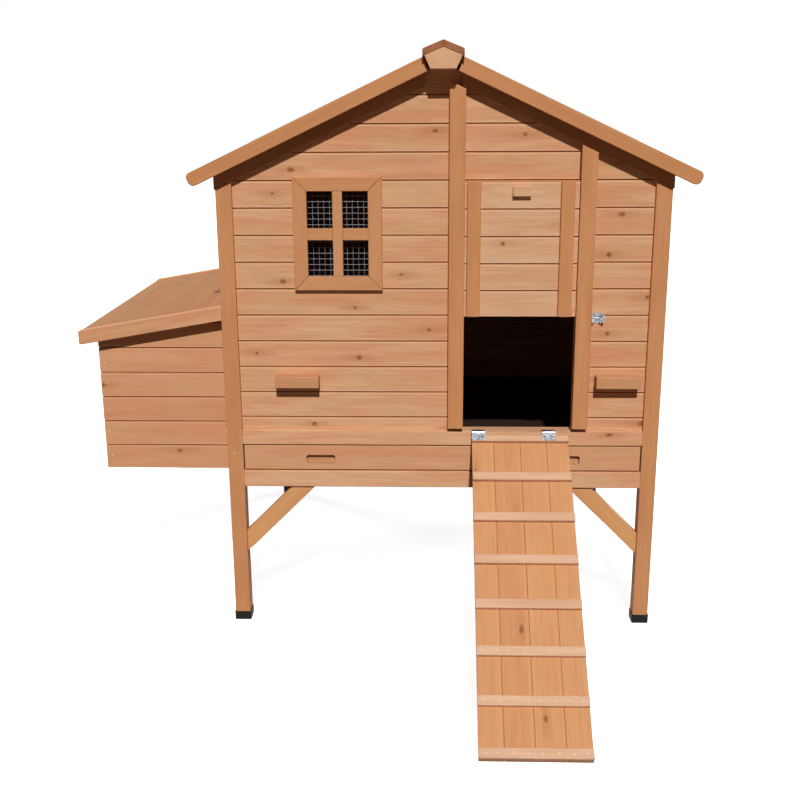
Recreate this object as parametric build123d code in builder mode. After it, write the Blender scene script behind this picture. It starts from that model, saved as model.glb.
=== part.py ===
from build123d import *
import os
from math import asin, atan2, cos, hypot, radians, sin, tan

# Raised wooden chicken coop, in millimetres.
# Sketch x runs from the house's centre line, sketch y back from the front boards' face, z up from the ground.

# Timber sections and fits
POST = 36.0
POST_PROUD = 10.0
BOARD = 12.0
COVER = 60.0
REVEAL = 2.5
LAP = 6.0
GROOVE = 8.0
EDGE = 1.2
GAP = 0.3

# House over its corner posts, and the heights of its rails
HOUSE_WIDTH = 1000.0
HOUSE_DEPTH = 920.0
RAIL_FOOT = 346.0
RAIL_DEPTH = 39.0
TRAY_OPENING = 65.0
SILL_DEPTH = 35.0
FIRST_COVER = 32.0
FOOT_FLOOR = 4.0
FOOT_HEIGHT = 22.0
FOOT_WIDTH = 40.0
FOOT_CORNER = 4.0

# Roof
ROOF_PITCH = 25.0
ROOF_BOARD = 14.0
ROOF_COURSES = 9
RAFTER_DEPTH = 42.0
RAFTER_PAST_POST = 3.0
PLATE_HEIGHT = 45.0
BEAM_SHOULDER = 44.0
BEAM_SIDE = 30.0
BEAM_RISE = 16.0
CAP_OVERHANG = 4.0
CAP_THICK = 15.5
CAP_ROUND = 5.0
BARGE_HEIGHT = 31.0
BARGE_THICK = 18.0
EAVE_OVERHANG = 55.0
BARGE_GAP = 5.0
BARGE_NOSE = 12.0
EAVE_SETBACK = 14.0
OVERHANG = 47.0
RIDGE_OVERHANG = 67.0

# Braces under the house
BRACE_WIDTH = 37.0
BRACE_THICK = 24.0
BRACE_RUN = 168.0

# Window in the front wall
WINDOW_FROM_POST = 232.5
WINDOW_RISE = 453.5
PANE_WIDTH = 135.0
PANE_HEIGHT = 188.0
TRIM = 31.0
TRIM_PROUD = 11.5
UPRIGHT_BAR = 22.0
CROSS_BAR = 26.0
MESH_PITCH = 12.7
MESH_WIRE = 1.4
MESH_MARGIN = 12.0

# Pop door, its two guide posts and its lift block
DOOR_MARGIN = 130.0
GUIDE_WIDTH = 35.0
GUIDE_PROUD = 22.0
GUIDE_LIFT = 8.0
DOORWAY = 250.0
DOORWAY_HEIGHT = 272.0
DOOR_BOARD = 10.0
DOOR_PLAY = 0.5
DOOR_REBATE = 8.0
DOOR_DIP = 2.0
DOOR_HEADROOM = 72.4
DOOR_COURSES = 5
DOOR_BATTEN = 30.0
DOOR_BATTEN_THICK = 10.0
DOOR_BATTEN_INSET = 12.5
DOOR_BATTEN_BOLT_INSET = 18.5
PULL_WIDTH = 40.0
PULL_HEIGHT = 22.0
PULL_PROUD = 11.5
PULL_DROP = 12.0

# Grip blocks on the front wall
GRIP_WIDTH = 100.0
GRIP_HEIGHT = 26.0
GRIP_PROUD = 34.0
GRIP_RISE = 107.0
GRIP_FROM_POST = 134.0
GRIP_FROM_DOOR = 65.5

# Door bolt
BOLT_R = 2.75
BOLT_PLAY = 0.05
BOLT_BELOW_DOOR = 5.0
BOLT_PLATE = 28.0
BOLT_PLATE_HEIGHT = 22.0
BOLT_PLATE_THICK = 1.5
BOLT_LUG = 5.0
BOLT_LUG_HEIGHT = 15.0
BOLT_KNOB_R = 2.25
BOLT_KNOB_LENGTH = 11.0
BOLT_TIP_INSIDE = 1.5
BOLT_HOLE_R = 3.4
BOLT_HOLE_DEPTH = 14.0

# Butt hinges
LEAF = 1.6
KNUCKLE_R = 3.4
PIN_R = 1.7
PIN_PLAY = 0.05
HINGE_RISE = 2.0
HINGE_WIDTH = 30.0
LEAF_LENGTH = 22.0
KNUCKLE_GAP = 0.4

# Ramp
RAMP_OFFSET = 6.5
RAMP_WIDTH = 221.0
RAMP_LENGTH = 745.0
RAMP_BOARD = 12.0
RAMP_SEAM = 0.5
CLEATS = 8
CLEAT_WIDTH = 21.0
CLEAT_THICK = 10.0
HEADER_START = 6.0
HEADER_END = 22.0
RAMP_HINGE_INSET = 15.0

# Droppings tray
TRAY_FRONT = 15.0
TRAY_SET_IN = 3.0
TRAY_PLAY = 2.5
TRAY_WALL = 12.0
TRAY_WALL_HEIGHT = 55.0
TRAY_BASE = 6.0
TRAY_BACK_ROOM = 4.0
RUNNER_WIDTH = 28.0
RUNNER_DEPTH = 22.0
RUNNER_RISE = 2.0
SLOT_X = (-282.0, 288.0)
SLOT_WIDTH = 68.0
SLOT_HEIGHT = 21.0
SLOT_CORNER = 6.0
SLOT_DEPTH = 11.0
SLOT_DROP = 4.0

# Nest box on the left wall
NEST_DEPTH = 319.0
NEST_BACK_SETBACK = 121.0
NEST_RISE = 21.0
NEST_BATTEN = 22.0
NEST_DIVIDER_HEIGHT = 230.0
NEST_DOOR_WIDTH = 250.0
NEST_DOOR_SILL = 1
NEST_DOOR_COURSES = 4
LID_OVERHANG = 35.0
LID_END_OVERHANG = 32.5
LID_POST_CLEAR = 1.5
LID_RISE = 345.0
LID_PITCH = 9.75
LID_BOARD = 14.0
LID_BOARDS = 6
LID_REVEAL = 0.6
LID_CORNER = 5.0
LID_TRIM = 18.0
LID_TRIM_DEPTH = 33.0
LID_TRIM_PROUD = 3.0
NEST_HINGE_WIDTH = 50.0
NEST_HINGE_INSET = 120.0
LID_HINGE_CLEAR = 1.1

# Perches
PERCH = 32.0
PERCH_EDGE = 8.0
PERCH_FROM_BACK = 104.0
PERCH_SPACING = 250.0
BRACKET_THICK = 14.0
BRACKET_WIDTH = 56.0
BRACKET_FOOT = 30.0
BRACKET_CLEAR = 20.0
BRACKET_LIP = 20.0
BRACKET_END_PLAY = 2.0

# Places worked out from the sizes above
HALF = HOUSE_WIDTH / 2
POST_INNER = HALF - POST
FRONT_FACE = -POST_PROUD
BACK_FACE = HOUSE_DEPTH - POST_PROUD
BACK_BOARDS = BACK_FACE - POST_PROUD
SIDE_BOARDS = HALF - POST_PROUD
FRONT_INNER = FRONT_FACE + POST
BACK_INNER = BACK_FACE - POST
RAIL_TOP = RAIL_FOOT + RAIL_DEPTH
SILL_FOOT = RAIL_TOP + TRAY_OPENING
SILL_TOP = SILL_FOOT + SILL_DEPTH
FIRST_JOINT = SILL_TOP + FIRST_COVER
WINDOW_X = WINDOW_FROM_POST - POST_INNER
WINDOW_Z = SILL_TOP + WINDOW_RISE
PITCH = radians(ROOF_PITCH)
BARGE_REACH = HALF + EAVE_OVERHANG
EAVE = (BARGE_REACH - BARGE_NOSE * (1 - sin(PITCH))) / cos(PITCH) + BARGE_NOSE
ROOF_DROP = ROOF_BOARD / cos(PITCH)
RAFTER_DROP = (ROOF_BOARD + RAFTER_DEPTH) / cos(PITCH)
BEAM_HALF = BEAM_SHOULDER * cos(PITCH)

GUIDE_X = POST_INNER - DOOR_MARGIN - DOORWAY - 2 * GUIDE_WIDTH
GUIDE_INNER = GUIDE_X + GUIDE_WIDTH
DOOR_POST_X = GUIDE_INNER + DOORWAY
DOOR_WIDTH = DOORWAY + 2 * (DOOR_REBATE - DOOR_PLAY)
DOOR_X = GUIDE_INNER + DOORWAY / 2
DOOR_EDGE_X = DOOR_X + DOOR_WIDTH / 2
DOORWAY_TOP = SILL_TOP + DOORWAY_HEIGHT
DOOR_FOOT = DOORWAY_TOP - DOOR_DIP
GUIDE_FOOT = SILL_TOP + GUIDE_LIFT
DOOR_BACK = -DOOR_PLAY
DOOR_FACE = DOOR_BACK - DOOR_BOARD
REBATE_DEPTH = DOOR_BOARD + 2 * DOOR_PLAY
DOOR_TOP = DOOR_FOOT + DOOR_COURSES * COVER
DOOR_SHUT = SILL_TOP + HINGE_RISE + PIN_R
DOOR_DROP = DOOR_FOOT - DOOR_SHUT

# The rafters clear the raised door by its headroom
RIDGE_Z = DOOR_TOP + DOOR_HEADROOM + RAFTER_DROP + DOOR_EDGE_X * tan(PITCH)
BEAM_FOOT = RIDGE_Z - BEAM_SHOULDER * sin(PITCH) - BEAM_SIDE * cos(PITCH)
PLATE_FOOT = RIDGE_Z - HALF * tan(PITCH) - ROOF_DROP - PLATE_HEIGHT

RAMP_X = DOOR_X + RAMP_OFFSET
HINGE_Y = -GUIDE_PROUD - KNUCKLE_R - PIN_PLAY
HINGE_Z = SILL_TOP + HINGE_RISE
RAMP_DEPTH = HINGE_RISE + CLEAT_THICK + RAMP_BOARD
RAMP_SLOPE = asin(HINGE_Z / hypot(RAMP_LENGTH, RAMP_DEPTH)) - atan2(RAMP_DEPTH, RAMP_LENGTH)
RAMP_REACH = -HINGE_Y + RAMP_LENGTH * cos(RAMP_SLOPE) - (HINGE_RISE + EDGE) * sin(RAMP_SLOPE)
RAMP_BOARD_START = (RAMP_DEPTH * sin(RAMP_SLOPE) - KNUCKLE_R + EDGE) / cos(RAMP_SLOPE)

LID_FRONT = FRONT_INNER + LID_POST_CLEAR
NEST_FRONT = LID_FRONT + LID_END_OVERHANG
NEST_BACK = BACK_INNER - NEST_BACK_SETBACK
LID_BACK = NEST_BACK + LID_END_OVERHANG
NEST_OUTER = SIDE_BOARDS + NEST_DEPTH
LID_OUTER = NEST_OUTER + LID_OVERHANG
NEST_FOOT = RAIL_FOOT + NEST_RISE
LID_OUTER_Z = NEST_FOOT + LID_RISE
LID_TILT = radians(LID_PITCH)
LID_HINGE_X = SIDE_BOARDS + LEAF + KNUCKLE_R
LID_WALL = LID_HINGE_X + KNUCKLE_R + LID_HINGE_CLEAR
LID_LENGTH = (LID_OUTER - LID_WALL) / cos(LID_TILT)

# The object's box is centred on the origin and stands on z = 0
HOUSE_X = (LID_OUTER - BARGE_REACH) / 2
FRONT_Y = (RAMP_REACH - BACK_BOARDS - RIDGE_OVERHANG) / 2


def level(z):
    """Plane seen from above at height z."""
    return Plane(origin=(HOUSE_X, FRONT_Y, z))


def facing_front(y):
    """Plane seen from the front at depth y: sketch x runs right, sketch y up, and it extrudes forwards."""
    return Plane(origin=(HOUSE_X, FRONT_Y + y, 0), x_dir=(1, 0, 0), z_dir=(0, -1, 0))


def facing_right(x):
    """Plane seen from the right at x: sketch x runs back, sketch y up, and it extrudes to the right."""
    return Plane(origin=(HOUSE_X + x, FRONT_Y, 0), x_dir=(0, 1, 0), z_dir=(1, 0, 0))


def ramp_face(rise):
    """Plane along the ramp, rise above its hinge axis: sketch y runs up the ramp from the axis."""
    normal = (0, -sin(RAMP_SLOPE), cos(RAMP_SLOPE))
    origin = (HOUSE_X, FRONT_Y + HINGE_Y + rise * normal[1], HINGE_Z + rise * normal[2])
    return Plane(origin=origin, x_dir=(1, 0, 0), z_dir=normal)


def roof_top(x):
    return RIDGE_Z - abs(x) * tan(PITCH)


def rafter_foot(x):
    return roof_top(x) - RAFTER_DROP


def on_roof(side, along, depth):
    """Point of a gable view: along the slope from the ridge, depth below the roof's top."""
    x = along * cos(PITCH) - depth * sin(PITCH)
    return (side * x, RIDGE_Z - along * sin(PITCH) - depth * cos(PITCH))


def on_lid(along, depth):
    """Point of a front view: along the lid from its outer edge, depth below the trims' top."""
    x = -LID_OUTER + along * cos(LID_TILT) + depth * sin(LID_TILT)
    return (x, LID_OUTER_Z + along * sin(LID_TILT) - depth * cos(LID_TILT))


def lap_outline(foot, cover, thick, top=False, reveal=REVEAL):
    """Section of one rebated board as (depth, height): its tongue stands behind the next board."""
    mid = thick / 2
    head = foot + cover - GAP if top else foot + cover - reveal
    tongue = head if top else foot + cover + LAP - GAP
    points = [(0, foot), (0, head), (mid + GAP, head)]
    if not top:
        points.append((mid + GAP, tongue))
    points += [(thick, tongue), (thick, foot + LAP), (mid, foot + LAP), (mid, foot)]
    return points


def draw(points):
    """Closed straight-sided face in the current sketch."""
    with BuildLine() as outline:
        Polyline(*points, close=True)
    make_face(outline.edges())


def rectangle(x, y):
    """Upright rectangle in the current sketch from its two ranges."""
    with Locations(((x[0] + x[1]) / 2, (y[0] + y[1]) / 2)):
        Rectangle(x[1] - x[0], y[1] - y[0])


def keep(piece, name):
    piece.part.label = name
    export_step(piece.part, f"parts/{name}.step")


def timber(name, blocks, edge=EDGE):
    """One or more plain squared timbers, each given as its x, y and z ranges, with broken edges."""
    with BuildPart() as piece:
        for x, y, z in blocks:
            with BuildSketch(level(z[0])):
                rectangle(x, y)
            extrude(amount=z[1] - z[0])
        chamfer(piece.edges(), edge)
    keep(piece, name)


def break_front_edges(piece):
    chamfer(piece.faces().group_by(Axis.Y)[0].edges(), EDGE)


def front_shapes(name, outlines, back, thick):
    """Flat pieces drawn from the front, from depth back and thick millimetres forwards."""
    with BuildPart() as piece:
        for points in outlines:
            with BuildSketch(facing_front(back)):
                draw(points)
            extrude(amount=thick)
        break_front_edges(piece)
    keep(piece, name)


os.makedirs("parts", exist_ok=True)


# Corner posts, grooved for the wall boards, cut to the roof slope and shod with plastic caps
def corner_post(name, side, front):
    y = (FRONT_FACE, FRONT_INNER) if front else (BACK_INNER, BACK_FACE)
    boards_y = (0, BOARD) if front else (BACK_BOARDS - BOARD, BACK_BOARDS)
    boards_foot = SILL_TOP if front else RAIL_TOP
    side_groove_y = FRONT_INNER - GROOVE / 2 if front else BACK_INNER + GROOVE / 2
    with BuildPart() as post:
        with BuildSketch(level(FOOT_FLOOR)):
            rectangle(sorted((side * POST_INNER, side * HALF)), y)
        extrude(amount=RIDGE_Z)
        chamfer(post.edges().filter_by(Axis.Z), EDGE)
        with BuildSketch(level(boards_foot)):
            with Locations((side * (POST_INNER + GROOVE / 2), sum(boards_y) / 2)):
                Rectangle(GROOVE, BOARD + 2 * GAP)
        extrude(amount=RIDGE_Z, mode=Mode.SUBTRACT)
        with BuildSketch(level(RAIL_TOP)):
            with Locations((side * (SIDE_BOARDS - BOARD / 2), side_groove_y)):
                Rectangle(BOARD + 2 * GAP, GROOVE)
        extrude(amount=PLATE_FOOT - RAIL_TOP, mode=Mode.SUBTRACT)
        with BuildSketch(facing_front(y[1])):
            inner, outer = side * (POST_INNER - EDGE), side * (HALF + EDGE)
            high = RIDGE_Z + 2 * FOOT_HEIGHT
            draw([(inner, rafter_foot(inner)), (outer, rafter_foot(outer)), (outer, high), (inner, high)])
        extrude(amount=POST, mode=Mode.SUBTRACT)
    keep(post, name)


for side, side_name in ((-1, "left"), (1, "right")):
    corner_post(f"front_{side_name}_post", side, front=True)
    corner_post(f"rear_{side_name}_post", side, front=False)

POST_CENTRES = [
    (side * (HALF - POST / 2), y)
    for side in (-1, 1)
    for y in (FRONT_FACE + POST / 2, BACK_FACE - POST / 2)
]

with BuildPart() as foot_caps:
    with BuildSketch(level(0)):
        with Locations(*POST_CENTRES):
            RectangleRounded(FOOT_WIDTH, FOOT_WIDTH, FOOT_CORNER)
    extrude(amount=FOOT_HEIGHT)
    fillet(foot_caps.faces().group_by(Axis.Z)[0].edges(), FOOT_CORNER - EDGE)
    with BuildSketch(level(FOOT_FLOOR)):
        with Locations(*POST_CENTRES):
            Rectangle(POST + 2 * GAP, POST + 2 * GAP)
    extrude(amount=FOOT_HEIGHT, mode=Mode.SUBTRACT)
keep(foot_caps, "foot_caps")


# Walls of rebated boards laid on each other
def courses_to(foot, top):
    count = int((top - foot) / COVER) + 1
    return [foot + i * COVER for i in range(count)]


GABLE_CUT = [
    (-BARGE_REACH, rafter_foot(BARGE_REACH) - GAP),
    (-BEAM_HALF, rafter_foot(BEAM_HALF) - GAP),
    (-BEAM_HALF, BEAM_FOOT - GAP),
    (BEAM_HALF, BEAM_FOOT - GAP),
    (BEAM_HALF, rafter_foot(BEAM_HALF) - GAP),
    (BARGE_REACH, rafter_foot(BARGE_REACH) - GAP),
    (BARGE_REACH, RIDGE_Z + COVER),
    (-BARGE_REACH, RIDGE_Z + COVER),
]
BOARD_END = POST_INNER + GROOVE - GAP

with BuildPart() as front_wall_boards:
    with BuildSketch(facing_right(-BOARD_END)):
        for foot in courses_to(FIRST_JOINT - COVER, BEAM_FOOT):
            draw(lap_outline(foot, COVER, BOARD))
    extrude(amount=2 * BOARD_END)
    with BuildSketch(facing_front(BOARD)):
        draw(GABLE_CUT)
        rectangle((-HALF, HALF), (RAIL_TOP, SILL_TOP + GAP))
        rectangle((GUIDE_INNER, DOOR_POST_X), (SILL_TOP, DOORWAY_TOP))
        with Locations((WINDOW_X, WINDOW_Z)):
            Rectangle(PANE_WIDTH + TRIM / 2, PANE_HEIGHT + TRIM / 2)
    extrude(amount=BOARD, mode=Mode.SUBTRACT)
keep(front_wall_boards, "front_wall_boards")

with BuildPart() as rear_wall_boards:
    with BuildSketch(facing_right(-BOARD_END)):
        for foot in courses_to(RAIL_TOP + GAP, BEAM_FOOT):
            draw([(BACK_BOARDS - depth, z) for depth, z in lap_outline(foot, COVER, BOARD)])
    extrude(amount=2 * BOARD_END)
    with BuildSketch(facing_front(BACK_BOARDS)):
        draw(GABLE_CUT)
    extrude(amount=BOARD, mode=Mode.SUBTRACT)
keep(rear_wall_boards, "rear_wall_boards")

NEST_MID = (NEST_FRONT + NEST_BACK) / 2
NEST_BAY = (NEST_MID - NEST_FRONT) / 2
NEST_BAY_CENTRES = [NEST_MID - NEST_BAY, NEST_MID + NEST_BAY]
NEST_DOOR_FOOT = RAIL_TOP + GAP + NEST_DOOR_SILL * COVER
NEST_DOOR_TOP = NEST_DOOR_FOOT + NEST_DOOR_COURSES * COVER


def side_wall(name, side, nest_doors):
    start = FRONT_INNER - GROOVE + GAP
    end = BACK_INNER + GROOVE - GAP
    with BuildPart() as wall:
        with BuildSketch(facing_front(end)):
            for foot in courses_to(RAIL_TOP + GAP, PLATE_FOOT - GAP):
                draw([(side * (SIDE_BOARDS - depth), z) for depth, z in lap_outline(foot, COVER, BOARD)])
        extrude(amount=end - start)
        with BuildSketch(facing_right(-HALF if side < 0 else 0)):
            rectangle((0, HOUSE_DEPTH), (PLATE_FOOT - GAP, PLATE_FOOT + COVER))
            if nest_doors:
                for centre in NEST_BAY_CENTRES:
                    half = NEST_DOOR_WIDTH / 2
                    rectangle((centre - half, centre + half), (NEST_DOOR_FOOT, NEST_DOOR_TOP))
        extrude(amount=HALF, mode=Mode.SUBTRACT)
    keep(wall, name)


side_wall("left_wall_boards", -1, nest_doors=True)
side_wall("right_wall_boards", 1, nest_doors=False)

# Rails, wall plates and the batten that carries the ramp's hinges
RAIL_X = (-POST_INNER, POST_INNER)
FRONT_DEPTH = (FRONT_FACE, FRONT_INNER)
BACK_DEPTH = (BACK_INNER, BACK_FACE)
SIDE_SPAN = (FRONT_INNER, BACK_INNER)
LEFT_RAIL_X = (-HALF, -POST_INNER)
RIGHT_RAIL_X = (POST_INNER, HALF)
RAMP_EDGES = (RAMP_X - RAMP_WIDTH / 2, RAMP_X + RAMP_WIDTH / 2)

timber("front_bottom_rail", [(RAIL_X, FRONT_DEPTH, (RAIL_FOOT, RAIL_TOP))])
timber("rear_bottom_rail", [(RAIL_X, BACK_DEPTH, (RAIL_FOOT, RAIL_TOP))])
timber("side_bottom_rails", [(x, SIDE_SPAN, (RAIL_FOOT, RAIL_TOP)) for x in (LEFT_RAIL_X, RIGHT_RAIL_X)])
timber("front_sill_rail", [(RAIL_X, FRONT_DEPTH, (SILL_FOOT, SILL_TOP))])
timber("ramp_hinge_batten", [(RAMP_EDGES, (-GUIDE_PROUD, FRONT_FACE), (SILL_FOOT + LAP, SILL_TOP))])


def plate_outline(side):
    inner, outer = side * POST_INNER, side * HALF
    return [
        (inner, PLATE_FOOT),
        (outer, PLATE_FOOT),
        (outer, roof_top(outer) - ROOF_DROP - GAP),
        (inner, roof_top(inner) - ROOF_DROP - GAP),
    ]


front_shapes("wall_plates", [plate_outline(-1), plate_outline(1)], BACK_INNER, BACK_INNER - FRONT_INNER)


# Braces between the legs and the bottom rails
def brace_outline(side):
    width = BRACE_WIDTH * 2 ** 0.5
    leg, rail = POST_INNER, RAIL_FOOT
    points = [
        (leg, rail - BRACE_RUN + width),
        (leg, rail - BRACE_RUN),
        (leg - BRACE_RUN, rail),
        (leg - BRACE_RUN + width, rail),
    ]
    return [(side * x, z) for x, z in points]


BRACES = [brace_outline(-1), brace_outline(1)]
BRACE_SET_IN = (POST - BRACE_THICK) / 2
front_shapes("front_braces", BRACES, FRONT_INNER - BRACE_SET_IN, BRACE_THICK)
front_shapes("rear_braces", BRACES, BACK_FACE - BRACE_SET_IN, BRACE_THICK)


# Roof: gable rafters, ridge beam, boards, barge boards and the two cap boards over the ridge
def rafter_outline(side):
    inner = BEAM_HALF + GAP
    outer = HALF + RAFTER_PAST_POST
    top = ROOF_DROP + GAP
    points = [
        (inner, roof_top(inner) - top),
        (outer, roof_top(outer) - top),
        (outer, rafter_foot(outer)),
        (inner, rafter_foot(inner)),
    ]
    return [(side * x, z) for x, z in points]


RAFTERS = [rafter_outline(-1), rafter_outline(1)]
ROOF_FRONT = -OVERHANG
ROOF_BACK = BACK_BOARDS + OVERHANG
RIDGE_BACK = BACK_BOARDS + RIDGE_OVERHANG
RIDGE_LENGTH = RIDGE_BACK + RIDGE_OVERHANG
front_shapes("front_rafters", RAFTERS, FRONT_INNER, POST)
front_shapes("rear_rafters", RAFTERS, BACK_FACE, POST)

BEAM_PEAK = RIDGE_Z - BEAM_SHOULDER * sin(PITCH) + BEAM_RISE
BEAM = [
    (0, BEAM_PEAK),
    on_roof(1, BEAM_SHOULDER, 0),
    on_roof(1, BEAM_SHOULDER, BEAM_SIDE),
    on_roof(-1, BEAM_SHOULDER, BEAM_SIDE),
    on_roof(-1, BEAM_SHOULDER, 0),
]
front_shapes("ridge_beam", [BEAM], RIDGE_BACK, RIDGE_LENGTH)


def roof_boards(name, side):
    eave = EAVE - EAVE_SETBACK
    cover = (eave - BEAM_SHOULDER) / ROOF_COURSES
    with BuildPart() as boards:
        with BuildSketch(facing_front(ROOF_BACK - BARGE_THICK)):
            for i in range(ROOF_COURSES):
                section = lap_outline(i * cover, cover, ROOF_BOARD, top=i == ROOF_COURSES - 1)
                draw([on_roof(side, eave - up, depth) for depth, up in section])
        extrude(amount=ROOF_BACK - ROOF_FRONT - 2 * BARGE_THICK)
    keep(boards, name)


roof_boards("left_roof_boards", -1)
roof_boards("right_roof_boards", 1)


def barge(side, back):
    start = BEAM_SHOULDER + BARGE_GAP
    corners = [(start, 0), (EAVE, 0), (EAVE, BARGE_HEIGHT), (start, BARGE_HEIGHT)]
    with BuildSketch(facing_front(back)) as face:
        draw([on_roof(side, along, depth) for along, depth in corners])
    extrude(face.sketch, amount=BARGE_THICK)


def round_noses(piece):
    """Both corners of each barge board's free end are rounded."""
    corners = piece.edges().filter_by(Axis.Y)
    fillet([edge for edge in corners if abs(edge.center().X - HOUSE_X) > HALF], BARGE_NOSE)


for side, side_name in ((-1, "left"), (1, "right")):
    with BuildPart() as front_barge_board:
        barge(side, ROOF_FRONT + BARGE_THICK)
        round_noses(front_barge_board)
        break_front_edges(front_barge_board)
    keep(front_barge_board, f"front_{side_name}_barge_board")

with BuildPart() as rear_barge_boards:
    barge(-1, ROOF_BACK)
    barge(1, ROOF_BACK)
    round_noses(rear_barge_boards)
keep(rear_barge_boards, "rear_barge_boards")


def ridge_cap(side):
    """One cap board on the beam's upper face, with upright edges, the outer one rounded at its top."""
    inner = side * GAP / 2
    outer = side * (BEAM_HALF + CAP_OVERHANG)
    drop = BEAM_RISE / BEAM_HALF
    foot = [(x, BEAM_PEAK - abs(x) * drop) for x in (inner, outer)]
    top = [(x, z + CAP_THICK) for x, z in reversed(foot)]
    with BuildSketch(facing_front(RIDGE_BACK)) as face:
        draw(foot + top)
    extrude(face.sketch, amount=RIDGE_LENGTH)


with BuildPart() as ridge_caps:
    ridge_cap(-1)
    ridge_cap(1)
    along = ridge_caps.edges().filter_by(Axis.Y)
    outer_edges = [edge for edge in along if abs(edge.center().X - HOUSE_X) > BEAM_HALF]
    outer_middle = sum(edge.center().Z for edge in outer_edges) / len(outer_edges)
    fillet([edge for edge in outer_edges if edge.center().Z > outer_middle], CAP_ROUND)
    break_front_edges(ridge_caps)
keep(ridge_caps, "ridge_caps")


# Window: four mitred trims, cross bars between them and welded wire behind the boards
def mitred_trim(turn):
    across, up = (PANE_WIDTH, PANE_HEIGHT) if turn % 2 == 0 else (PANE_HEIGHT, PANE_WIDTH)
    inner, outer = across / 2 - GAP, across / 2 + TRIM - GAP
    low, high = up / 2, up / 2 + TRIM
    points = [(-inner, low), (inner, low), (outer, high), (-outer, high)]
    for _ in range(turn):
        points = [(-y, x) for x, y in points]
    return [(WINDOW_X + x, WINDOW_Z + y) for x, y in points]


front_shapes("window_trim", [mitred_trim(turn) for turn in range(4)], 0, TRIM_PROUD)

with BuildPart() as window_bars:
    with BuildSketch(facing_front(0)):
        half_bar = UPRIGHT_BAR / 2 + GAP
        with Locations((WINDOW_X, WINDOW_Z)):
            Rectangle(UPRIGHT_BAR, PANE_HEIGHT)
        cross_length = PANE_WIDTH / 2 - half_bar
        for side in (-1, 1):
            with Locations((WINDOW_X + side * (half_bar + cross_length / 2), WINDOW_Z)):
                Rectangle(cross_length, CROSS_BAR)
    extrude(amount=TRIM_PROUD)
    break_front_edges(window_bars)
keep(window_bars, "window_bars")

with BuildPart() as window_mesh:
    mesh_width = PANE_WIDTH + TRIM / 2 + 2 * MESH_MARGIN
    mesh_height = PANE_HEIGHT + TRIM / 2 + 2 * MESH_MARGIN
    columns = int(mesh_width / MESH_PITCH)
    rows = int(mesh_height / MESH_PITCH)
    with BuildSketch(facing_front(BOARD + MESH_WIRE)):
        with Locations((WINDOW_X, WINDOW_Z)):
            Rectangle(columns * MESH_PITCH + MESH_WIRE, rows * MESH_PITCH + MESH_WIRE)
            with GridLocations(MESH_PITCH, MESH_PITCH, columns, rows):
                Rectangle(MESH_PITCH - MESH_WIRE, MESH_PITCH - MESH_WIRE, mode=Mode.SUBTRACT)
    extrude(amount=MESH_WIRE)
keep(window_mesh, "window_mesh")

# Guide posts of the pop door, rebated behind for the door's edges
BOLT_Y = (DOOR_BACK + DOOR_FACE) / 2
BOLT_Z = DOOR_FOOT - BOLT_BELOW_DOOR


def guide_post(name, x, rebate_x, bolt_hole):
    with BuildPart() as post:
        with BuildSketch(facing_front(0)):
            draw([
                (x, GUIDE_FOOT),
                (x + GUIDE_WIDTH, GUIDE_FOOT),
                (x + GUIDE_WIDTH, rafter_foot(x + GUIDE_WIDTH) - GAP),
                (x, rafter_foot(x) - GAP),
            ])
        extrude(amount=GUIDE_PROUD)
        chamfer(post.faces().sort_by(Axis.Y)[0].edges(), EDGE)
        with BuildSketch(facing_front(0)):
            rectangle((rebate_x, rebate_x + DOOR_REBATE), (SILL_TOP, RIDGE_Z))
        extrude(amount=REBATE_DEPTH, mode=Mode.SUBTRACT)
        if bolt_hole:
            with BuildSketch(facing_right(x)):
                with Locations((BOLT_Y, BOLT_Z)):
                    Circle(BOLT_R + BOLT_PLAY)
            extrude(amount=GUIDE_WIDTH, mode=Mode.SUBTRACT)
    keep(post, name)


guide_post("centre_post", GUIDE_X, GUIDE_INNER - DOOR_REBATE, bolt_hole=False)
guide_post("door_post", DOOR_POST_X, DOOR_POST_X, bolt_hole=True)

# Pop door, drawn raised, with the hole that the bolt finds when the door is down
with BuildPart() as pop_door_boards:
    with BuildSketch(facing_right(DOOR_X - DOOR_WIDTH / 2)):
        for i in range(DOOR_COURSES):
            section = lap_outline(DOOR_FOOT + i * COVER, COVER, DOOR_BOARD, top=i == DOOR_COURSES - 1)
            draw([(DOOR_FACE + depth, z) for depth, z in section])
    extrude(amount=DOOR_WIDTH)
    with BuildSketch(facing_right(DOOR_EDGE_X - BOLT_HOLE_DEPTH)):
        with Locations((BOLT_Y, BOLT_Z + DOOR_DROP)):
            Circle(BOLT_HOLE_R)
    extrude(amount=BOLT_HOLE_DEPTH, mode=Mode.SUBTRACT)
keep(pop_door_boards, "pop_door_boards")

BATTEN_LEFT = DOOR_X - DOOR_WIDTH / 2 + DOOR_BATTEN_INSET
BATTEN_RIGHT = DOOR_EDGE_X - DOOR_BATTEN_BOLT_INSET - DOOR_BATTEN
BATTEN_DEPTH = (DOOR_FACE - DOOR_BATTEN_THICK, DOOR_FACE)
timber(
    "pop_door_battens",
    [((x, x + DOOR_BATTEN), BATTEN_DEPTH, (DOOR_FOOT, DOOR_TOP - GAP)) for x in (BATTEN_LEFT, BATTEN_RIGHT)],
)


# Blocks to lift the door and to hold the house by
def grip_block(name, x, width, back, proud, foot, height):
    timber(name, [((x - width / 2, x + width / 2), (back - proud, back), (foot, foot + height))])


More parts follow.
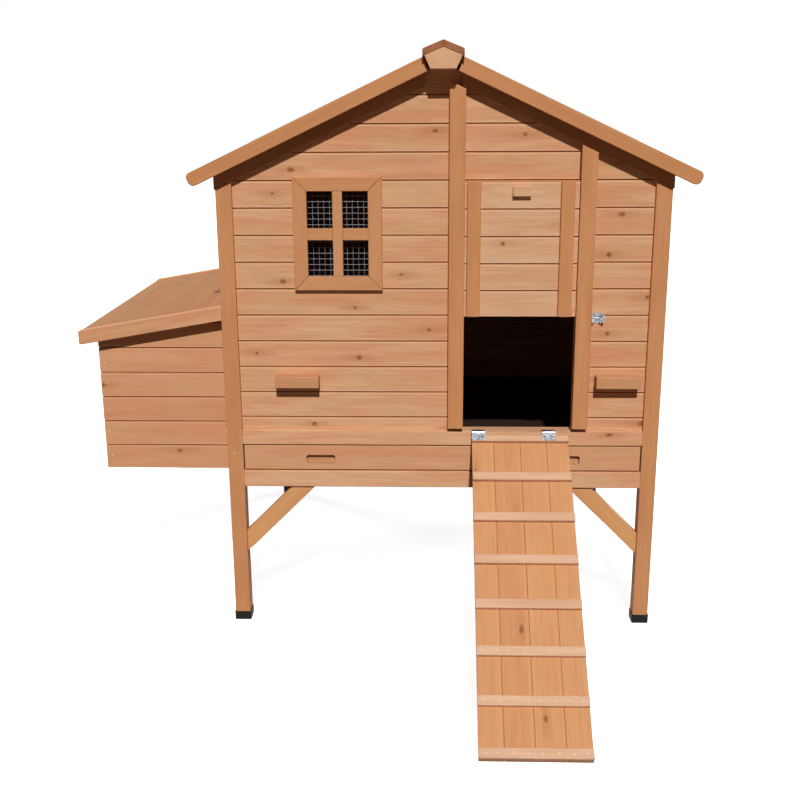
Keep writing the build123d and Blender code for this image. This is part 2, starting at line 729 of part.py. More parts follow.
PULL_FOOT = DOOR_TOP - PULL_DROP - PULL_HEIGHT
GRIP_FOOT = SILL_TOP + GRIP_RISE
GRIP_LEFT_X = GRIP_FROM_POST - POST_INNER
GRIP_RIGHT_X = DOOR_POST_X + GUIDE_WIDTH + GRIP_FROM_DOOR
grip_block("pop_door_pull", DOOR_X - EDGE, PULL_WIDTH, DOOR_FACE, PULL_PROUD, PULL_FOOT, PULL_HEIGHT)
grip_block("left_grip_block", GRIP_LEFT_X, GRIP_WIDTH, 0, GRIP_PROUD, GRIP_FOOT, GRIP_HEIGHT)
grip_block("right_grip_block", GRIP_RIGHT_X, GRIP_WIDTH, 0, GRIP_PROUD, GRIP_FOOT, GRIP_HEIGHT)

# Barrel bolt beside the door, drawn back
PLATE_LEFT = DOOR_POST_X + GUIDE_WIDTH + BOLT_PLATE_THICK
PLATE_RIGHT = PLATE_LEFT + BOLT_PLATE

with BuildPart() as bolt_plate:
    with BuildSketch(facing_front(0)):
        rectangle((PLATE_LEFT, PLATE_RIGHT), (BOLT_Z - BOLT_PLATE_HEIGHT / 2, BOLT_Z + BOLT_PLATE_HEIGHT / 2))
    extrude(amount=BOLT_PLATE_THICK)
    for x in (PLATE_LEFT, PLATE_RIGHT - BOLT_LUG):
        with BuildSketch(facing_right(x)):
            top = BOLT_Y - BOLT_LUG_HEIGHT / 2
            rectangle((top, -BOLT_PLATE_THICK), (BOLT_Z - BOLT_LUG_HEIGHT / 2, BOLT_Z + BOLT_LUG_HEIGHT / 2))
            with Locations((BOLT_Y, BOLT_Z)):
                Circle(BOLT_R + BOLT_PLAY, mode=Mode.SUBTRACT)
        extrude(amount=BOLT_LUG)
keep(bolt_plate, "bolt_plate")

BOLT_TIP = DOOR_POST_X + DOOR_REBATE + BOLT_TIP_INSIDE
KNOB_X = PLATE_RIGHT - BOLT_LUG - BOLT_KNOB_R - BOLT_PLATE_THICK / 2

with BuildPart() as bolt_rod:
    with BuildSketch(facing_right(BOLT_TIP)):
        with Locations((BOLT_Y, BOLT_Z)):
            Circle(BOLT_R)
    extrude(amount=PLATE_RIGHT + BOLT_R - BOLT_TIP)
    with BuildSketch(facing_front(BOLT_Y)):
        with Locations((KNOB_X, BOLT_Z)):
            Circle(BOLT_KNOB_R)
    extrude(amount=BOLT_KNOB_LENGTH)
keep(bolt_rod, "bolt_rod")


# Butt hinges: two outer knuckles on the fixed leaf, one middle knuckle on the moving leaf, one pin
def knuckle_spans(width):
    third = width / 3
    fixed = [(-width / 2, -third / 2 - KNUCKLE_GAP), (third / 2 + KNUCKLE_GAP, width / 2)]
    return fixed, [(-third / 2, third / 2)]


def hinge_leaves(name, ends, width, leaf_outline, moving):
    """Leaves whose section is drawn about the pin on each end plane, which extrudes along the pin."""
    fixed_spans, moving_spans = knuckle_spans(width)
    own, other = (moving_spans, fixed_spans) if moving else (fixed_spans, moving_spans)
    with BuildPart() as leaves:
        for end in ends:
            with BuildSketch(end.offset(-width / 2)):
                draw(leaf_outline)
            extrude(amount=width)
            for low, high in other:
                with BuildSketch(end.offset(low - KNUCKLE_GAP)):
                    Circle(KNUCKLE_R + KNUCKLE_GAP)
                extrude(amount=high - low + 2 * KNUCKLE_GAP, mode=Mode.SUBTRACT)
            for low, high in own:
                with BuildSketch(end.offset(low)):
                    Circle(KNUCKLE_R)
                extrude(amount=high - low)
            with BuildSketch(end.offset(-width / 2)):
                Circle(PIN_R + PIN_PLAY)
            extrude(amount=width, mode=Mode.SUBTRACT)
    keep(leaves, name)


def hinge_pins(name, ends, width):
    with BuildPart() as pins:
        for end in ends:
            with BuildSketch(end.offset(-width / 2)):
                Circle(PIN_R)
            extrude(amount=width)
    keep(pins, name)


LEAF_FOOT = -HINGE_RISE
LEAF_HEAD = LEAF - HINGE_RISE

# Ramp hinges: the pin runs along x, one leaf lies on the sill and the other on the ramp's header
RAMP_HINGE_CENTRES = [RAMP_EDGES[0] + RAMP_HINGE_INSET, RAMP_EDGES[1] - RAMP_HINGE_INSET - HINGE_WIDTH]
SILL_ENDS = [
    Plane(origin=(HOUSE_X + x, FRONT_Y + HINGE_Y, HINGE_Z), x_dir=(0, 1, 0), z_dir=(1, 0, 0))
    for x in RAMP_HINGE_CENTRES
]
DOWN_RAMP = (0, -cos(RAMP_SLOPE), -sin(RAMP_SLOPE))
RAMP_ENDS = [Plane(origin=end.origin, x_dir=DOWN_RAMP, z_dir=(-1, 0, 0)) for end in SILL_ENDS]
FLAT_LEAF = [(0, LEAF_FOOT), (LEAF_LENGTH, LEAF_FOOT), (LEAF_LENGTH, LEAF_HEAD), (0, LEAF_HEAD)]
RAMP_LEAF = [(0, LEAF_FOOT), (HEADER_END - EDGE, LEAF_FOOT), (HEADER_END - EDGE, LEAF_HEAD), (0, LEAF_HEAD)]
hinge_leaves("ramp_hinge_sill_leaves", SILL_ENDS, HINGE_WIDTH, FLAT_LEAF, moving=False)
hinge_leaves("ramp_hinge_ramp_leaves", RAMP_ENDS, HINGE_WIDTH, RAMP_LEAF, moving=True)
hinge_pins("ramp_hinge_pins", SILL_ENDS, HINGE_WIDTH)

# Ramp: two full boards and two trimmed ones along the slope, with a header and cleats across them
with BuildPart() as ramp_boards:
    seams = (RAMP_EDGES[0], RAMP_X - COVER, RAMP_X, RAMP_X + COVER, RAMP_EDGES[1])
    with BuildSketch(ramp_face(-RAMP_DEPTH)):
        for left, right in zip(seams, seams[1:]):
            left_gap = RAMP_SEAM / 2 if left != RAMP_EDGES[0] else 0
            right_gap = RAMP_SEAM / 2 if right != RAMP_EDGES[1] else 0
            rectangle((left + left_gap, right - right_gap), (-RAMP_LENGTH, -RAMP_BOARD_START))
    extrude(amount=RAMP_BOARD)
    chamfer(ramp_boards.edges(), EDGE / 2)
keep(ramp_boards, "ramp_boards")

with BuildPart() as ramp_cleats:
    with BuildSketch(ramp_face(-HINGE_RISE - CLEAT_THICK)):
        rectangle(RAMP_EDGES, (-HEADER_END, -HEADER_START))
        for i in range(1, CLEATS):
            end = HEADER_END + i * (RAMP_LENGTH - HEADER_END) / (CLEATS - 1)
            rectangle(RAMP_EDGES, (-end, -end + CLEAT_WIDTH))
    extrude(amount=CLEAT_THICK)
    chamfer(ramp_cleats.edges(), EDGE)
keep(ramp_cleats, "ramp_cleats")

# Droppings tray, with two blind finger slots in its front, on runners inside the side rails
TRAY_X = POST_INNER - TRAY_PLAY
TRAY_FACE = FRONT_FACE + TRAY_SET_IN
TRAY_INSIDE = TRAY_FACE + TRAY_FRONT
TRAY_END = BACK_INNER - TRAY_BACK_ROOM
RUNNER_TOP = RAIL_TOP + RUNNER_RISE
TRAY_FOOT = RUNNER_TOP + GAP
TRAY_WALL_TOP = TRAY_FOOT + TRAY_WALL_HEIGHT
TRAY_FRONT_FOOT = RAIL_TOP + TRAY_SET_IN
TRAY_FRONT_TOP = SILL_FOOT - TRAY_SET_IN

with BuildPart() as tray_front:
    with BuildSketch(facing_front(TRAY_INSIDE)):
        rectangle((-TRAY_X, TRAY_X), (TRAY_FRONT_FOOT, TRAY_FRONT_TOP))
    extrude(amount=TRAY_FRONT)
    chamfer(tray_front.edges(), EDGE)
    with BuildSketch(facing_front(TRAY_FACE + SLOT_DEPTH)):
        with Locations(*[(x, (TRAY_FRONT_FOOT + TRAY_FRONT_TOP) / 2 - SLOT_DROP) for x in SLOT_X]):
            RectangleRounded(SLOT_WIDTH, SLOT_HEIGHT, SLOT_CORNER)
    extrude(amount=SLOT_DEPTH, mode=Mode.SUBTRACT)
keep(tray_front, "tray_front")

TRAY_SIDE_Y = (TRAY_INSIDE, TRAY_END)
TRAY_SIDE_Z = (TRAY_FOOT, TRAY_WALL_TOP)
BACK_WALL_X = TRAY_X - TRAY_WALL - GAP
timber(
    "tray_walls",
    [
        ((-TRAY_X, -TRAY_X + TRAY_WALL), TRAY_SIDE_Y, TRAY_SIDE_Z),
        ((TRAY_X - TRAY_WALL, TRAY_X), TRAY_SIDE_Y, TRAY_SIDE_Z),
        ((-BACK_WALL_X, BACK_WALL_X), (TRAY_END - TRAY_WALL, TRAY_END), TRAY_SIDE_Z),
    ],
)
TRAY_BASE_Y = (TRAY_INSIDE, TRAY_END - TRAY_WALL - GAP)
timber("tray_base", [((-BACK_WALL_X, BACK_WALL_X), TRAY_BASE_Y, (TRAY_FOOT, TRAY_FOOT + TRAY_BASE))])
RUNNER_Z = (RUNNER_TOP - RUNNER_DEPTH, RUNNER_TOP)
timber(
    "tray_runners",
    [
        ((-POST_INNER, -POST_INNER + RUNNER_WIDTH), SIDE_SPAN, RUNNER_Z),
        ((POST_INNER - RUNNER_WIDTH, POST_INNER), SIDE_SPAN, RUNNER_Z),
    ],
)

# Nest box: board walls under a sloping lid, a floor, a divider and corner battens
NEST_WALL_X = -SIDE_BOARDS - GAP
LID_FLOOR = LID_TRIM_PROUD + LID_BOARD + GAP
LID_CUT = [
    on_lid(-BARGE_NOSE, LID_FLOOR),
    on_lid(LID_LENGTH + POST, LID_FLOOR),
    on_lid(LID_LENGTH + POST, -HALF),
    on_lid(-BARGE_NOSE, -HALF),
]
NEST_WALL_TOP = LID_OUTER_Z + LID_LENGTH * sin(LID_TILT)


def nest_end(name, outer_face, inward):
    """Front or rear wall, notched over the side rail: inward points from its outer face to the nest."""
    back = max(outer_face, outer_face + inward * BOARD)
    with BuildPart() as wall:
        with BuildSketch(facing_right(-NEST_OUTER)):
            for foot in courses_to(NEST_FOOT, NEST_WALL_TOP):
                draw([(outer_face + inward * depth, z) for depth, z in lap_outline(foot, COVER, BOARD)])
        extrude(amount=NEST_OUTER + NEST_WALL_X)
        with BuildSketch(facing_front(back)):
            draw(LID_CUT)
            rectangle((-HALF - GAP, -POST_INNER), (RAIL_FOOT, RAIL_TOP + GAP))
        extrude(amount=BOARD, mode=Mode.SUBTRACT)
    keep(wall, name)


nest_end("nest_front_boards", NEST_FRONT, 1)
nest_end("nest_rear_boards", NEST_BACK, -1)

NEST_INSIDE = (NEST_FRONT + BOARD + GAP, NEST_BACK - BOARD - GAP)
NEST_OUTER_WALL = -NEST_OUTER + BOARD + GAP

with BuildPart() as nest_outer_boards:
    with BuildSketch(facing_front(NEST_INSIDE[1])):
        for foot in courses_to(NEST_FOOT, LID_OUTER_Z - COVER / 2):
            draw([(-NEST_OUTER + depth, z) for depth, z in lap_outline(foot, COVER, BOARD)])
    extrude(amount=NEST_INSIDE[1] - NEST_INSIDE[0])
    with BuildSketch(facing_front(NEST_INSIDE[1])):
        draw(LID_CUT)
    extrude(amount=NEST_INSIDE[1] - NEST_INSIDE[0], mode=Mode.SUBTRACT)
keep(nest_outer_boards, "nest_outer_boards")

NEST_SPAN = (NEST_OUTER_WALL, NEST_WALL_X)
DIVIDER_FOOT = RAIL_TOP + GAP
timber("nest_floor", [((NEST_OUTER_WALL, -HALF - GAP), NEST_INSIDE, (DIVIDER_FOOT - BOARD, DIVIDER_FOOT))])
DIVIDER_Y = (NEST_MID - BOARD / 2, NEST_MID + BOARD / 2)
timber("nest_divider", [(NEST_SPAN, DIVIDER_Y, (DIVIDER_FOOT, DIVIDER_FOOT + NEST_DIVIDER_HEIGHT))])

with BuildPart() as nest_corner_battens:
    with BuildSketch(level(DIVIDER_FOOT)):
        for x in (NEST_SPAN[0] + NEST_BATTEN / 2, NEST_SPAN[1] - NEST_BATTEN / 2):
            for y in (NEST_INSIDE[0] + NEST_BATTEN / 2, NEST_INSIDE[1] - NEST_BATTEN / 2):
                with Locations((x, y)):
                    Rectangle(NEST_BATTEN, NEST_BATTEN)
    extrude(amount=NEST_WALL_TOP - DIVIDER_FOOT)
    with BuildSketch(facing_front(NEST_INSIDE[1])):
        draw(LID_CUT)
    extrude(amount=NEST_INSIDE[1] - NEST_INSIDE[0], mode=Mode.SUBTRACT)
keep(nest_corner_battens, "nest_corner_battens")

# Nest lid: boards from front to back, closed by a trim at each end
with BuildPart() as nest_lid_boards:
    lid_cover = LID_LENGTH / LID_BOARDS
    with BuildSketch(facing_front(LID_BACK - LID_TRIM - GAP)):
        for i in range(LID_BOARDS):
            last = i == LID_BOARDS - 1
            section = lap_outline(i * lid_cover, lid_cover, LID_BOARD, last, LID_REVEAL)
            draw([on_lid(up, LID_TRIM_PROUD + depth) for depth, up in section])
    extrude(amount=LID_BACK - LID_FRONT - 2 * LID_TRIM - 2 * GAP)
keep(nest_lid_boards, "nest_lid_boards")

TRIM_OUTLINE = [
    on_lid(0, 0),
    on_lid(LID_LENGTH, 0),
    on_lid(LID_LENGTH, LID_TRIM_DEPTH),
    (-LID_OUTER, LID_OUTER_Z - LID_TRIM_DEPTH / cos(LID_TILT)),
]
with BuildPart() as nest_lid_trims:
    for back in (LID_FRONT + LID_TRIM, LID_BACK):
        with BuildSketch(facing_front(back)):
            draw(TRIM_OUTLINE)
        extrude(amount=LID_TRIM)
    fillet(nest_lid_trims.edges().filter_by(Axis.Y).group_by(Axis.X)[0], LID_CORNER)
    chamfer(nest_lid_trims.edges().filter_by(Axis.Y, reverse=True), EDGE)
keep(nest_lid_trims, "nest_lid_trims")

# Nest hinges: the pin runs along y, one leaf stands on the wall and the other lies on the lid
LID_HINGE_ALONG = (LID_OUTER - LID_HINGE_X) / cos(LID_TILT)
LID_HINGE_Z = on_lid(LID_HINGE_ALONG, LID_TRIM_PROUD - HINGE_RISE)[1]
NEST_HINGE_CENTRES = [NEST_FRONT + NEST_HINGE_INSET, NEST_BACK - NEST_HINGE_INSET]
WALL_ENDS = [
    Plane(origin=(HOUSE_X - LID_HINGE_X, FRONT_Y + y, LID_HINGE_Z), x_dir=(1, 0, 0), z_dir=(0, -1, 0))
    for y in NEST_HINGE_CENTRES
]
DOWN_LID = (-cos(LID_TILT), 0, -sin(LID_TILT))
LID_ENDS = [Plane(origin=end.origin, x_dir=DOWN_LID, z_dir=(0, 1, 0)) for end in WALL_ENDS]
WALL_LEAF = [
    (0, KNUCKLE_R - LEAF),
    (KNUCKLE_R + LEAF, KNUCKLE_R - LEAF),
    (KNUCKLE_R + LEAF, LEAF_LENGTH),
    (KNUCKLE_R, LEAF_LENGTH),
    (KNUCKLE_R, KNUCKLE_R),
    (0, KNUCKLE_R),
]
hinge_leaves("nest_hinge_wall_leaves", WALL_ENDS, NEST_HINGE_WIDTH, WALL_LEAF, moving=False)
hinge_leaves("nest_hinge_lid_leaves", LID_ENDS, NEST_HINGE_WIDTH, FLAT_LEAF, moving=True)
hinge_pins("nest_hinge_pins", WALL_ENDS, NEST_HINGE_WIDTH)

# Perches across the house, dropped into notched brackets on the side boards
BRACKET_WALL = SIDE_BOARDS - BOARD
PERCH_Z = NEST_DOOR_TOP + BRACKET_CLEAR + BRACKET_FOOT
PERCH_BACK_Y = BACK_INNER - PERCH_FROM_BACK
PERCH_CENTRES = [PERCH_BACK_Y - PERCH_SPACING, PERCH_BACK_Y]
PERCH_HALF = BRACKET_WALL - BRACKET_END_PLAY

with BuildPart() as perches:
    with BuildSketch(facing_right(-PERCH_HALF)):
        with Locations(*[(y, PERCH_Z + PERCH / 2) for y in PERCH_CENTRES]):
            RectangleRounded(PERCH, PERCH, PERCH_EDGE)
    extrude(amount=2 * PERCH_HALF)
keep(perches, "perches")

with BuildPart() as perch_brackets:
    for start in (-BRACKET_WALL, BRACKET_WALL - BRACKET_THICK):
        with BuildSketch(facing_right(start)):
            for y in PERCH_CENTRES:
                half = BRACKET_WIDTH / 2
                rectangle((y - half, y + half), (PERCH_Z - BRACKET_FOOT, PERCH_Z + BRACKET_LIP))
                with Locations((y, PERCH_Z - GAP + PERCH / 2)):
                    Rectangle(PERCH + 2 * GAP, PERCH, mode=Mode.SUBTRACT)
        extrude(amount=BRACKET_THICK)
keep(perch_brackets, "perch_brackets")
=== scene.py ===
from math import cos, radians, sin, tau

import bmesh
import bpy
from mathutils import Matrix, Vector


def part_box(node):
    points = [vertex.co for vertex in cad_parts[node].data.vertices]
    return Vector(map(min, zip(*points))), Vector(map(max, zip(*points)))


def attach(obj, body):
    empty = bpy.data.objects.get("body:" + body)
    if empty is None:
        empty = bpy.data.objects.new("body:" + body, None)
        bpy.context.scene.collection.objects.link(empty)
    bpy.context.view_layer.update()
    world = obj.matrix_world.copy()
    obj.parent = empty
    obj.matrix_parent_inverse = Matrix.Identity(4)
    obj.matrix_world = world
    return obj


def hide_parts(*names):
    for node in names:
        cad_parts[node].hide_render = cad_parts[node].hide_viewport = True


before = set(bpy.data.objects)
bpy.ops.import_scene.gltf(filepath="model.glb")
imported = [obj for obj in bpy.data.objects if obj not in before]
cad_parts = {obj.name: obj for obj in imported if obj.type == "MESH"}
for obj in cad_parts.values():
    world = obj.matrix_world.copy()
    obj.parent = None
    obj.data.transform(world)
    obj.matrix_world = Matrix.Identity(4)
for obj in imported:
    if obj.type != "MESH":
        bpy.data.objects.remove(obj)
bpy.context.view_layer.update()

MM = 0.001

# The house in its frame, in millimetres: its middle line and its front boards' face
HOUSE_X = (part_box("front_left_post")[0][0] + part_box("front_right_post")[1][0]) / 2 / MM
FRONT_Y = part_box("front_wall_boards")[0][1] / MM

# Boards, slopes and hinges that patterns and fasteners follow: sizes in millimetres, places from the
# house's middle line, its front boards and the ground
BOARD_COVER = 60.0
FRONT_FIRST_COVER = 32.0
ROOF_PITCH = radians(25.0)
ROOF_COVER = 62.08
ROOF_SHOULDER = 44.0
BRACE_PITCH = radians(45.0)
LID_PITCH = radians(9.75)
LID_COVER = 58.26
LID_OUTER_Z = 712.0
LID_PIN = (-495.0, 770.98)
LID_HINGES = (180.0, 633.0)
RAMP_PITCH = radians(38.95)
RAMP_PIN = (-25.45, 487.0)
RAMP_HINGES = (85.0, 246.0)
CLEAT_FIRST = 22.0
CLEAT_STEP = 103.29
CLEAT_WIDTH = 21.0
NEST_COURSES = 5
NEST_FACE_Y = 60.0
BOLT_PLATE_CENTRE = (349.5, 750.0)
BOLT_PLATE_FACE_Y = -1.5
MESH_PITCH = 12.7
MESH_WIRE = 0.8

# Where a piece changes its material, in millimetres: half the window's pane, a little over half its upright
# bar, and how far in from the tray front's sides, faces and edges its finger slots lie at least
PANE_HALF = (67.5, 94.0)
WINDOW_BAR_REACH = 11.2
SLOT_INSET = Vector((20.0, 1.0, 5.0))

# How far off a hinge pin's line the cleats' faces and the leaves' faces lie, in millimetres
CLEAT_FACE = -2.0
LEAF_FACE = -0.4
WALL_LEAF_FACE = 3.4

# Fasteners, in millimetres: radii of the heads, and their places
CLEAT_NAIL_R = 2.1
BOARD_NAIL_R = 1.9
BOLT_SCREW_R = 2.0
HINGE_SCREW_R = 2.7
NAILED_CLEATS = (5, 6, 7)
NAILS_PER_CLEAT = 8
CLEAT_NAIL_X = 82.0
CLEAT_NAIL_STEP = 28.2
POST_NAIL = (-484.0, -10.0, 428.0)
NEST_NAIL_X = (-796.0, -512.0)
NEST_NAIL_RISE = 28.0
BOLT_SCREW_X = (-5.5, 5.5)
BOLT_SCREW_Z = (-8.2, 8.2)
SCREW_FROM_PIN = 13.0
RAMP_LEAF_SCREWS = (-9.0, 9.0)
LID_LEAF_SCREWS = (-16.0, 0.0, 16.0)
# How far nails driven by hand stray along a board, and how many times as far across it
NAIL_STRAY = (0.0, -2.5, 1.5, 2.0, -1.0, 2.5, -3.0, 1.0)
CLEAT_STRAY_ACROSS = 0.4
NEST_STRAY_ACROSS = 2.0

# Camera, set by the photograph's straight edges: millimetres, degrees, and a lens on a 36 mm sensor
CAMERA_FROM_HOUSE = (-16.9, -2415.8, 1229.3)
CAMERA_YAW = 1.873
CAMERA_DOWN = 15.561
CAMERA_ROLL = -0.314
CAMERA_LENS = 48.84

# Light: a sun from the front, two weaker soft ones from behind, and a dim even sky; angles in degrees
SUN_WAY = (-0.07, 1.0, -0.9)
SUN_STRENGTH = 3.45
SUN_ANGLE = 1.5
FILL_WAYS = {"left_fill": (0.8, -0.6, -0.3), "right_fill": (-0.8, -0.6, -0.3)}
FILL_STRENGTH = 1.6
FILL_ANGLE = 20.0
SKY_STRENGTH = 0.055
FLOOR_SIZE = 60.0
FLOOR_GLOW = 0.75

# Kinds of nodes that come up often
MATH = "ShaderNodeMath"
VECTOR = "ShaderNodeVectorMath"
RANGE = "ShaderNodeMapRange"
MIX = "ShaderNodeMix"
NOISE = "ShaderNodeTexNoise"
DRAW = "ShaderNodeTexWhiteNoise"
JOIN = "ShaderNodeCombineXYZ"
PARTS = "ShaderNodeSeparateXYZ"
CHANNELS = "ShaderNodeSeparateColor"
PLACE = "ShaderNodeTexCoord"
BUMP = "ShaderNodeBump"


def linear(code):
    """Linear colour of an sRGB hex value."""
    parts = [int(code[i:i + 2], 16) / 255 for i in (1, 3, 5)]
    return tuple(c / 12.92 if c <= 0.04045 else ((c + 0.055) / 1.055) ** 2.4 for c in parts) + (1.0,)


def add(tree, kind, inputs=(), **settings):
    """Add a node. An input is a value, a socket, or a node whose first output feeds it."""
    node = tree.nodes.new(kind)
    for name, value in settings.items():
        setattr(node, name, value)
    for key, value in dict(inputs).items():
        if isinstance(value, bpy.types.Node):
            value = value.outputs[0]
        if isinstance(value, bpy.types.NodeSocket):
            tree.links.new(value, node.inputs[key])
        else:
            node.inputs[key].default_value = value
    return node


def new_tree(name, kind, inputs, outputs):
    """A group of nodes with named sockets, each with the kind of what it carries."""
    tree = bpy.data.node_groups.new(name, kind)
    for in_out, sockets in (("INPUT", inputs), ("OUTPUT", outputs)):
        for socket, carries in sockets.items():
            tree.interface.new_socket(socket, in_out=in_out, socket_type="NodeSocket" + carries)
    return tree


def new_material(name):
    """A material, its tree and its surface's shader."""
    material = bpy.data.materials.new(name)
    material.use_nodes = True
    return material, material.node_tree, material.node_tree.nodes["Principled BSDF"]


def at(x, y, z):
    """A place in the frame, from millimetres off the house's middle line and front boards."""
    return Vector((HOUSE_X + x, FRONT_Y + y, z)) * MM


# Fir: tan wood, rosy wood, pale early wood, dark late wood and knots, as oil leaves them
BOARD_TONES = ("#ce9c72", "#cd8e67", "#e0b48e", "#b27a4e", "#84492a")
NEST_TONES = ("#cb956b", "#cd8a64", "#d8a781", "#b67d54", "#8c5231")
DOOR_TONES = ("#d3a681", "#d09975", "#e0b996", "#b8855c", "#8c5433")
LID_TONES = ("#ab7546", "#a56d42", "#b37f51", "#98663b", "#6e4527")
# Darker tones for the finger slots' insides: painted shade in the recesses
SLOT_SHADE_TONES = ("#be8f68", "#b9855f", "#c99c77", "#a6744c", "#7a4a2c")
RAIL_TONES = ("#d2a077", "#d09169", "#e3b893", "#b98156", "#84492a")
BLOCK_TONES = ("#c38d63", "#be835a", "#cf9e77", "#ab7349", "#84492a")
# The joints' shaded recesses get a warm, lighter tone: painted bounce light in their shade
JOINT_BOUNCE_TONE = "#c98049"
# Posts, trims and battens took the warmer stain of planed edges
TRIM_TONES = ("#c88a5b", "#bf8154", "#cd9367", "#ad7448", "#7c472a")
WINDOW_TONES = ("#c88d60", "#c28658", "#cd966c", "#b57c50", "#7c472a")
BRACE_TONES = ("#d49962", "#cb8d5b", "#d9a370", "#b87d4d", "#74432a")
# Rafters get darker tones: painted shade for the shade under the eaves
RAFTER_SHADE_TONES = ("#b57c52", "#ad744c", "#ba845d", "#9c6840", "#7c472a")
# Ridge caps are drawn darker and redder than the other timber
CAP_TONES = ("#a16746", "#91573a", "#ad744f", "#78452d", "#4e2a1a")
# The ridge beam shows its sawn ends, which are paler
END_TONES = ("#d8a982", "#d2a07a", "#dcb18d", "#c79871", "#a06c48")
# The ramp's boards, and its paler cleats
RAMP_TONES = ("#c98f60", "#c68a60", "#d09c6f", "#b0774c", "#83502f")
CLEAT_TONES = ("#d4aa8b", "#cd9f7e", "#ddb699", "#c09370", "#8a5f40")

FIR_MEASURES = ("Board", "Start", "Split", "Seed", "Knots", "Girth", "Lap", "Streaks", "Figure")
FIR_COLOURS = ("Tan", "Rosy", "Pale", "Dark", "Knot")

# Knots, in millimetres: one at most in each such length of a board, off its ends and the board's edges by
# shares of that length and of the board's width
KNOT_LENGTH = 260.0
KNOT_ALONG = (0.2, 0.8)
KNOT_ACROSS = (0.2, 0.76)
KNOT_RADIUS = (2.0, 5.0)
# Where the core sets in and is full, in radii, and how dark it is then; the same for the flare of dark wood
# round it, in millimetres; and how ragged both are, by a noise of what size, in millimetres too
CORE_REACH = (1.5, 0.3)
CORE_DEPTH = 0.85
FLARE_REACH = (19.0, 6.0)
FLARE_DEPTH = 0.5
CORE_RAGGED = 4.0
FLARE_RAGGED = 9.0
RAGGED_SIZE = 7.0
# Both are drawn out along the grain, by how little a distance along it counts; the flare bows the grain
SLANTED_KNOT = 0.45
ROUND_KNOT = 1.0
FLARE_LENGTHWISE = 0.22
GRAIN_BOW = -1.3
# Noises in the grain: their length and width in millimetres, and their detail. Real fibres and rings lie
# one to three millimetres apart, too fine to show from here, so they are drawn about twice as wide
GRAIN = {"fibre": (130.0, 5.5, 3.0), "band": (330.0, 26.0, 2.0), "patch": (170.0, 32.0, 2.0)}
RINGS_IN_BAND = 52.0
RING_SHARPNESS = 3.0
# Rosy patches: where in their noise they set in and are full, what shows there, and what a board adds
BLUSH_PATCH = (0.36, 0.64)
BLUSH_SHOWN = (-0.45, 0.85)
BLUSH_BY_BOARD = 0.52
# How much paler one board may be than another, and how much of the upper edge's painted highlight the lower
# edge gets
PALER_BY_BOARD = 0.3
LOWER_HIGHLIGHT = 0.5
# Late wood and knots lie lower than the fibres; the oil leaves a satin, felt by its bump in millimetres
LATE_SUNK = -0.3
KNOT_SUNK = -0.6
FIR_ROUGH = (0.52, 0.72)
FIR_BUMP = (0.35, 0.35)
FIR_SPECULAR = 0.14
# Large steps that keep one board's draws away from the next one's
PAST_SPLIT = 57.0
KNOT_SHIFT = 9.7
GRAIN_SHIFT = 371.0
# How many times a knot's slant runs through its range while its size runs through its own once
SLANT_REDRAW = 7.0


